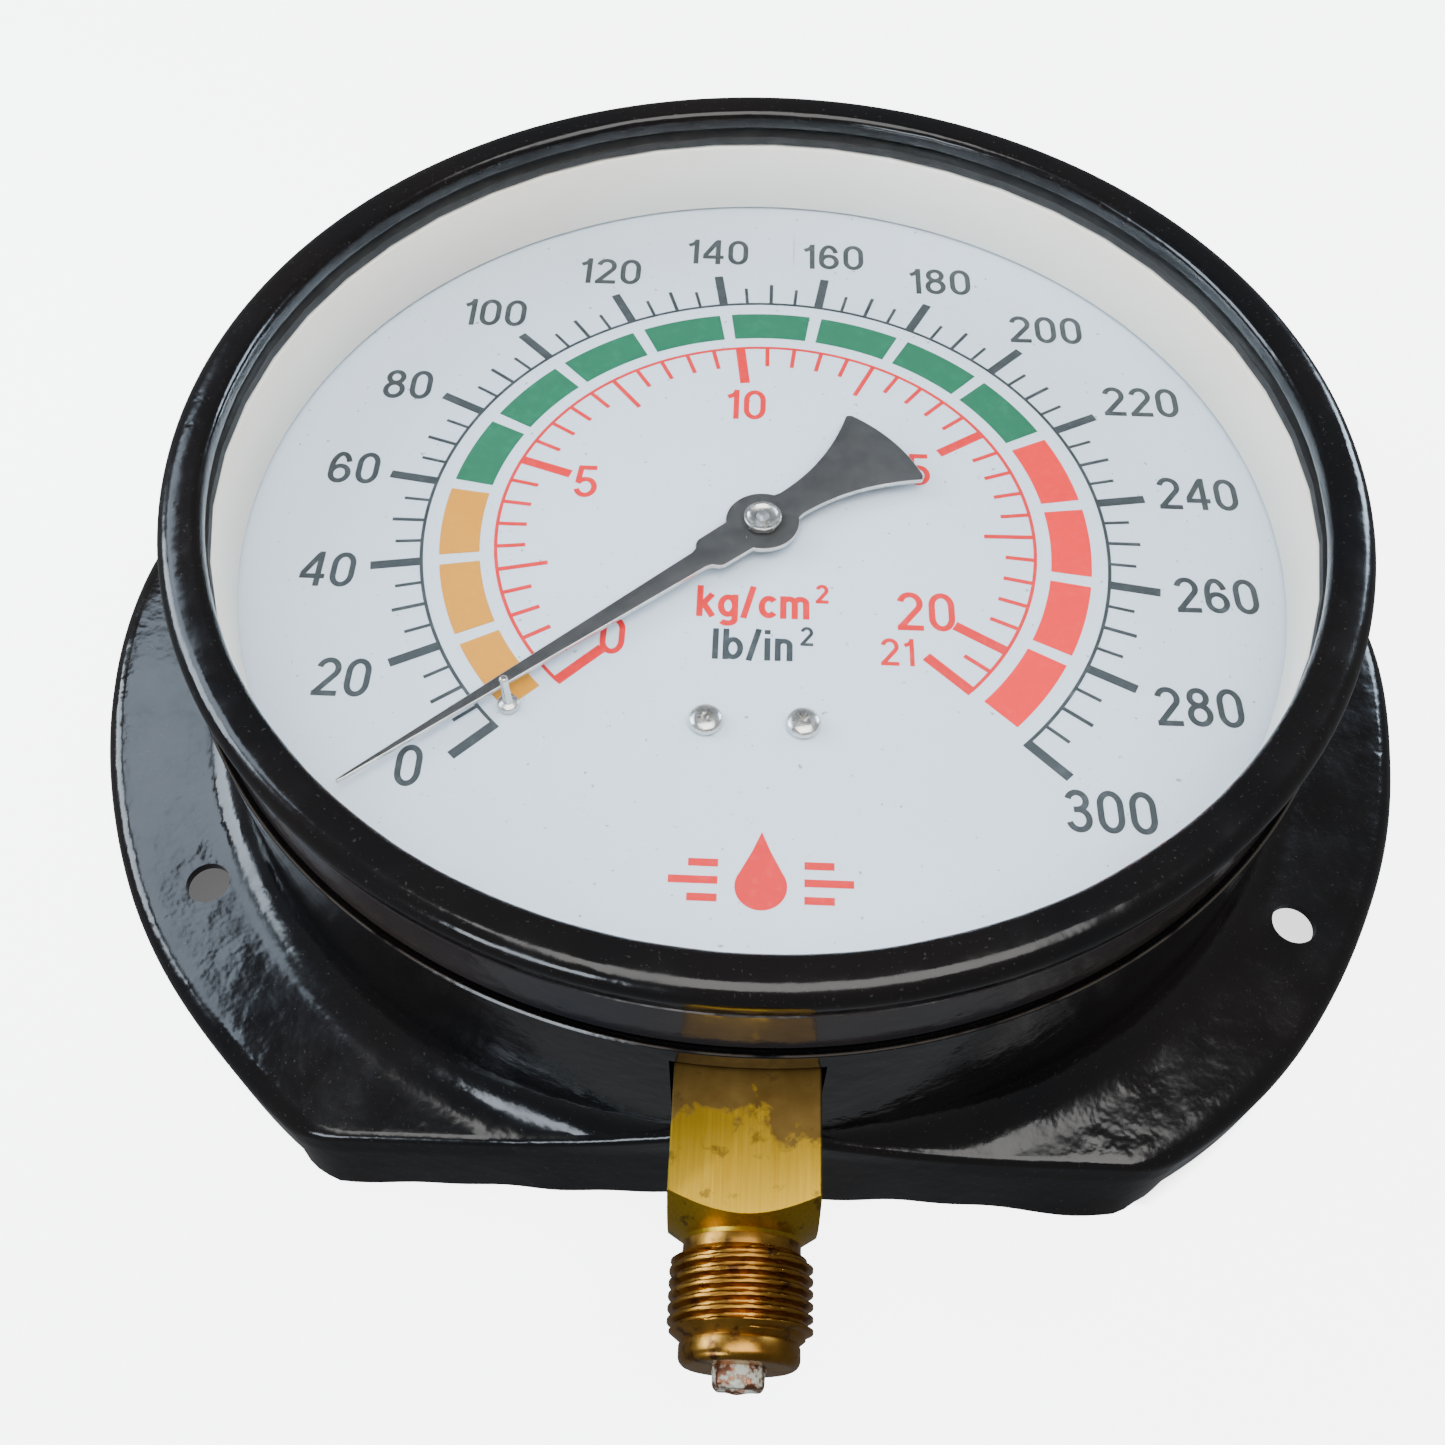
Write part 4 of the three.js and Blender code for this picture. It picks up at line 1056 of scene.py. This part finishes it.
blackNumerals = {
    "0": (-0.913, -0.843), "20": (-1.136, -0.571), "40": (-1.247, -0.197), "60": (-1.244, 0.199),
    "80": (-1.139, 0.563), "100": (-0.91, 0.913), "120": (-0.547, 1.139), "140": (-0.188, 1.257),
    "160": (0.207, 1.249), "180": (0.565, 1.139), "200": (0.902, 0.915), "220": (1.171, 0.592),
    "240": (1.292, 0.207), "260": (1.287, -0.183), "280": (1.179, -0.571), "300": (0.902, -0.907),
}
redNumerals = {
    "0": (-0.417, -0.397, 0.128), "5": (-0.542, 0.176, 0.128), "10": (-0.072, 0.524, 0.128),
    "15": (0.43, 0.27, 0.128), "20": (0.457, -0.276, 0.136), "21": (0.372, -0.421, 0.093),
}


def printBlack():
    parts = [
        strokeSet(blackInk, 16, 18, 0.994, 1.1435, 1.5),
        strokeSet(blackInk, 15, 18, 1.004, 1.095, 0.62, first=9),
        strokeSet(blackInk, 30, 9, 1.004, 1.076, 0.55, first=4.5),
        bandSet(blackInk, 1, printing["sweep"] / 2, 0, printing["sweep"], 0.994, 1.004, 181, 0.003),
    ]
    for text, centre in blackNumerals.items():
        parts.append(lettering(text, centre, 0.127))
    parts.append(lettering("lb/in", (-0.028, -0.413), 0.105, 0.222, 0.158))
    parts.append(lettering("2", (0.122, -0.378), 0.066, None, 0.15))
    placePrint(parts, "print_black", blackInk)


def printRed():
    step = printing["redStep"]
    parts = [
        strokeSet(redInk, 42, step / 2, 0.700, 0.783, 0.68, skip=5, skipOffset=0),
        strokeSet(redInk, 4, step * 5, 0.640, 0.783, 0.74, first=step * 2.5),
        strokeSet(redInk, 5, step * 5, 0.625, 0.790, 1.6),
        strokeSet(redInk, 1, step, 0.625, 0.790, 1.6, first=step * 21),
        bandSet(redInk, 1, step * 10.5, 0, step * 21, 0.781, 0.791, 181, 0.003),
    ]
    for text, (x, y, height) in redNumerals.items():
        parts.append(lettering(text, (x, y), height))
    parts.append(lettering("kg/cm", (-0.030, -0.264), 0.110, 0.318, 0.172))
    parts.append(lettering("2", (0.165, -0.226), 0.068, None, 0.17))
    parts += emblem()
    placePrint(parts, "print_red", redInk)


def emblem():
    # a plain drop between two short bars each side
    unit = dial["unit"]
    cx, cy = 0.01 * unit, -1.125 * unit
    drop = bow((cx, cy - 1.6), 3.4, -215, 35, 24)
    drop += [(cx + 1.15, cy + 3.6), (cx, cy + 6.4), (cx - 1.15, cy + 3.6)]
    base = printing["base"]
    parts = [slab(drop, base, base + printing["film"])]
    for side in (-1, 1):
        for level, reach in ((1.6, 9.5), (-0.9, 12.0), (-3.4, 9.5)):
            near, far = cx + side * 5.6, cx + side * reach
            low = (min(near, far), cy + level - 0.55, base)
            high = (max(near, far), cy + level + 0.55, base + printing["film"])
            parts.append(brick(low, high))
    return parts


def placePrint(parts, name, paint):
    bm = moved(merged(parts), (*dial["shift"], 0))
    finished(bm, name, paint, "case", (), 30)


def printBands():
    width = 18 - printing["gap"]
    for name, paint, first, count in (
        ("band_yellow", bandYellow, 0, 3), ("band_green", bandGreen, 3, 8), ("band_red", bandRed, 11, 4),
    ):
        bm = bandSet(paint, count, 9 + 18 * first, 18, width, 0.832, 0.948, 14)
        placePrint([bm], name, paint)


printBlack()
printRed()
printBands()
print("dial is printed")


# pointer

pointer = {
    "rest": 220.9, "low": 42.9, "thick": 0.7, "length": 73.4, "hub": 5.6,
    "tail": 26.8, "tailAngle": 19.8, "bore": 2.23,
}
boss = {"radius": 2.83, "low": 43.9, "height": 0.9}


def pointerOutline():
    p = pointer
    hub = p["hub"]
    # upper half from the needle's tip back to the tail, needle along +X
    upper = [(p["length"], 0.14), (p["length"] - 1.2, 0.26)]
    upper += [(12.2, 1.75), (11.3, 2.05), (10.7, 2.75), (10.0, 3.15)]
    upper += bow((0, 0), hub, 36, 148, 18)
    neck = []
    for k in range(13):
        along = k / 12
        x = -hub - 0.2 - along * (p["tail"] - hub - 2.4)
        y = 2.75 + 0.35 * along + 5.7 * along ** 2.1
        neck.append((x, y))
    upper += neck
    fan = bow((0, 0), p["tail"], 180 - p["tailAngle"] + 1.8, 180, 10)
    cornerAt = polar(p["tail"] - 0.35, 180 - p["tailAngle"] + 0.4)
    upper += [cornerAt] + fan
    lower = [(x, -y) for x, y in reversed(upper[:-1])]
    return upper + lower


def makePointer():
    p = pointer
    high = p["low"] + p["thick"]
    bm = slab(pointerOutline(), p["low"], high)
    hole = spun([(0, 42), (p["bore"], 42), (p["bore"], 45), (0, 45)], 48)
    bm = carved(bm, [hole])
    bm = softened(bm, 0.1, 2, 50)
    for face in bm.faces:  # sheared edges are bare, the faces are painted
        face.material_index = 0 if abs(face.normal.z) > 0.93 else 1
    turn = Matrix.Rotation(math.radians(p["rest"]), 4, "Z")
    moved(bm, (0, 0, 0), turn)
    finished(bm, "pointer_blade", [matt, bareSteel], "pointer_train", ["pointer"], 30)


def makeBoss():
    b = boss
    low, high = b["low"], b["low"] + b["height"]
    section = [
        (1.05, low - 1), (1.9, low - 1), (1.9, low), (b["radius"] - 0.1, low), (b["radius"], low + 0.1),
        (b["radius"], high - 0.25), *bow((b["radius"] - 0.2, high - 0.2), 0.2, 0, 90, 5),
        (2.35, high), (2.1, high - 0.2), (1.45, high - 0.36), (1.05, high - 0.38),
    ]
    bm = spun(section, 64, loop=True)
    finished(bm, "pointer_boss", nickel, "pointer_train", ["pointer_hub"], 30)


# screws and stop pin

dialScrew = {
    "radius": 2.42, "low": 41.3, "height": 1.5, "shank": 1.0, "slot": 0.55, "reach": 1.45, "depth": 0.85,
}
stopPin = {"radius": 0.62, "collar": 1.56, "low": 39.0, "seat": 41.3, "top": 47.8}


def crossCutter(width, reach, low, high):
    half = width / 2
    outline = [
        (reach, -half), (reach, half), (half * 1.3, half * 1.3), (half, reach), (-half, reach),
        (-half * 1.3, half * 1.3), (-reach, half), (-reach, -half), (-half * 1.3, -half * 1.3),
        (-half, -reach), (half, -reach), (half * 1.3, -half * 1.3),
    ]
    bm = slab(outline, low, high)
    for vert in bm.verts:  # the recess narrows towards its floor
        if vert.co.z < (low + high) / 2 * mm:
            vert.co.x *= 0.72
            vert.co.y *= 0.72
    return bm


def makeDialScrews():
    s = dialScrew
    low, high, radius = s["low"], s["low"] + s["height"], s["radius"]
    edge = 0.45
    turns = [math.radians(a) for a in range(0, 90, 8)]
    dome = [(radius * math.cos(a), low + edge + (s["height"] - edge) * math.sin(a) ** 0.8) for a in turns]
    section = [(0, 35), (s["shank"], 35), (s["shank"], low), (radius - 0.12, low), (radius, low + 0.15),
               *dome, (0, high)]
    for side, (x, y), turn in (("left", fixings["screws"][0], 24), ("right", fixings["screws"][1], 41)):
        cutter = crossCutter(s["slot"], s["reach"], high - s["depth"], high + 1)
        bm = carved(spun(section, 48), [cutter])
        bm = moved(bm, (x, y, 0), Matrix.Rotation(math.radians(turn), 4, "Z"))
        name = "dial_screw_" + side
        finished(bm, name + "_head", nickel, "case", [name], 35)


def makeStopPin():
    s = stopPin
    radius, seat, top = s["radius"], s["seat"], s["top"]
    section = [
        (0, s["low"]), (radius, s["low"]), (radius, seat), (s["collar"], seat), (s["collar"], seat + 0.35),
        *bow((s["collar"] - 0.45, seat + 0.45), 0.45, 0, 80, 5), (radius + 0.12, seat + 1.05),
        (radius, seat + 1.25), (radius, top - 0.4), *bow((radius - 0.4, top - 0.4), 0.4, 0, 90, 5), (0, top),
    ]
    bm = moved(spun(section, 40), (*fixings["pin"], 0))
    finished(bm, "stop_post", nickel, "case", ["stop_pin"], 35)


def makeCaseScrews():
    for side in ("left", "right"):
        name = "case_screw_" + side
        low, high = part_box(name)
        spot = ((low[0] + high[0]) / 2 / mm, (low[1] + high[1]) / 2 / mm, 0)
        section = [(0, 0.02), (1.9, 0.02), (2.0, 0.1), (1.0, 1.05), (1.0, 4.2), (0.7, 4.4), (0, 4.4)]
        cutter = crossCutter(0.5, 1.3, -1, 0.75)
        bm = moved(carved(spun(section, 40), [cutter]), spot)
        finished(bm, name + "_csk", pinSteel, "case", [name], 35)


makePointer()
makeBoss()
makeDialScrews()
makeStopPin()
makeCaseScrews()
print("pointer, boss, screws and stop are fitted")


# stem

stem = {
    "half": 8.8, "axis": 33.5, "inner": 83.0, "coneStart": 98.52, "coneEnd": 101.99, "corner": 12.45,
    "neck": 6.9, "threadStart": 103.6, "turns": 7.0, "pitch": 1.337, "crest": 8.33, "root": 7.47,
    "spigot": 6.9, "spigotLength": 2.7, "pilot": 3.0, "pilotLength": 2.2, "bore": 1.5,
}
alongStem = Matrix.Rotation(math.radians(90), 4, "X")


def laidAlongStem(bm):
    # turns a piece made round +Z to lie along -Y on the stem's axis
    return moved(bm, (0, 0, stem["axis"]), alongStem)


def makeStemBlock():
    s = stem
    half, axis = s["half"], s["axis"]
    bar = brick((-half, -104, axis - half), (half, -s["inner"], axis + half))
    bar = softened(bar, 0.35, 3)
    section = [
        (0, 60), (s["corner"] + 2, 60), (s["corner"] + 2, s["coneStart"] - 1.25),
        (s["neck"] + 0.3, s["coneEnd"]), (s["neck"], s["coneEnd"] + 0.4), (0, s["coneEnd"] + 0.4),
    ]
    turned = laidAlongStem(spun(section, 128))
    bm = carved(bar, [turned], "INTERSECT")
    finished(bm, "stem_bar", barBrass, "case", ["socket"], 20)


def threadRadius(distance, turnShare):
    # the helix between its run-in and run-out, clipped to the blank it is cut on
    s = stem
    start = s["threadStart"]
    end = start + s["turns"] * s["pitch"]
    phase = ((distance - start) / s["pitch"] - turnShare) % 1.0
    tooth = 0.5 + 0.5 * math.cos(2 * math.pi * phase)
    tooth = min(1.0, max(0.0, (tooth - 0.12) / 0.72))
    radius = s["root"] + (s["crest"] - s["root"]) * tooth
    blank = s["crest"]
    blank = min(blank, s["neck"] + max(0.0, distance - start) * 1.6)
    blank = min(blank, s["spigot"] + max(0.0, end - distance) * 1.3)
    return min(radius, blank)


def makeStemThread():
    s = stem
    start = s["threadStart"]
    end = start + s["turns"] * s["pitch"]
    spigotEnd = end + s["spigotLength"]
    pilotEnd = spigotEnd + s["pilotLength"]
    around = 120
    bm = bmesh.new()
    rows = []

    def addRow(distance, radiusAt):
        row = []
        for k in range(around):
            x, y = polar(radiusAt(k / around), 360 * k / around)
            row.append(bm.verts.new((x * mm, y * mm, distance * mm)))
        rows.append(row)

    addRow(s["coneEnd"] - 1, lambda share: s["neck"] - 0.6)
    addRow(s["coneEnd"] - 0.2, lambda share: s["neck"] - 0.02)
    addRow(start - 0.35, lambda share: s["neck"])
    steps = 126
    for k in range(steps + 1):
        distance = start + (end - start) * k / steps
        addRow(distance, lambda share: threadRadius(distance, share))
    addRow(end + 0.15, lambda share: s["spigot"] - 0.15)
    addRow(end + 0.5, lambda share: s["spigot"])
    for turn in range(0, 91, 15):
        radius = s["spigot"] - 1.1 + 1.1 * math.cos(math.radians(turn))
        distance = spigotEnd - 1.1 + 1.1 * math.sin(math.radians(turn))
        addRow(distance, lambda share: radius)
    addRow(spigotEnd - 0.02, lambda share: s["pilot"] + 0.35)
    for row, following in zip(rows, rows[1:]):
        for k in range(around):
            bm.faces.new((row[k], row[(k + 1) % around], following[(k + 1) % around], following[k]))
    bm.faces.new(list(reversed(rows[0])))
    bm.faces.new(rows[-1])
    bmesh.ops.recalc_face_normals(bm, faces=bm.faces)
    deep, out = spigotEnd - 8, pilotEnd + 2
    bore = spun([(0, deep), (s["bore"], deep), (s["bore"], out), (0, out)], 40)
    bm = laidAlongStem(carved(bm, [bore]))
    finished(bm, "stem_thread", threadBrass, "case", ["socket"], 50)
    section = [
        (s["bore"], spigotEnd - 1), (s["pilot"] + 0.1, spigotEnd - 1), (s["pilot"] + 0.1, spigotEnd + 0.1),
        (s["pilot"], spigotEnd + 0.4), (s["pilot"] - 0.05, pilotEnd - 0.5),
        *bow((s["pilot"] - 0.55, pilotEnd - 0.5), 0.5, 0, 90, 5),
        (s["bore"] + 0.3, pilotEnd), (s["bore"], pilotEnd - 0.3),
    ]
    pilot = spun(section, 72, loop=True)
    for vert in pilot.verts:  # knocked and crusted end
        if vert.co.z > (spigotEnd + 0.5) * mm:
            push = noise.noise(vert.co * 700) * 0.16 * mm
            vert.co.x += push * (1 if vert.co.x > 0 else -1)
            vert.co.z += noise.noise(vert.co * 520) * 0.22 * mm
    finished(laidAlongStem(pilot), "stem_pilot", pilotBrass, "case", ["socket"], 50)


def makeSocketFoot():
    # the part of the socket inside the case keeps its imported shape
    bm = bmesh.new()
    bm.from_mesh(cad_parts["socket"].data)
    bmesh.ops.remove_doubles(bm, verts=bm.verts, dist=1e-6)
    plane = Vector((0, -stem["inner"] * mm, 0))
    cut = bmesh.ops.bisect_plane(
        bm, geom=bm.verts[:] + bm.edges[:] + bm.faces[:],
        plane_co=plane, plane_no=(0, -1, 0), clear_outer=True,
    )
    edges = [item for item in cut["geom_cut"] if isinstance(item, bmesh.types.BMEdge)]
    bmesh.ops.holes_fill(bm, edges=edges, sides=0)
    finished(bm, "socket_foot", movementBrass, "case", ["socket"], 30)


makeStemBlock()
makeStemThread()
makeSocketFoot()
print("stem is turned")


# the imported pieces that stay: movement, tube and gasket

keptFinishes = {
    "window_gasket": rubber, "bourdon_tube": tubeBronze, "hairspring": tubeBronze, "link": nickel,
    "socket_bracket": pinSteel, "pinion_arbor": pinSteel, "sector_arbor": pinSteel,
}


def dressKept():
    for name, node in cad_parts.items():
        if node.hide_render:
            continue
        finish = keptFinishes.get(name, pinSteel if "screw" in name else movementBrass)
        if not node.material_slots:
            node.data.materials.append(finish)
        for place in node.material_slots:
            place.material = finish


dressKept()
print("packed pieces are dressed")
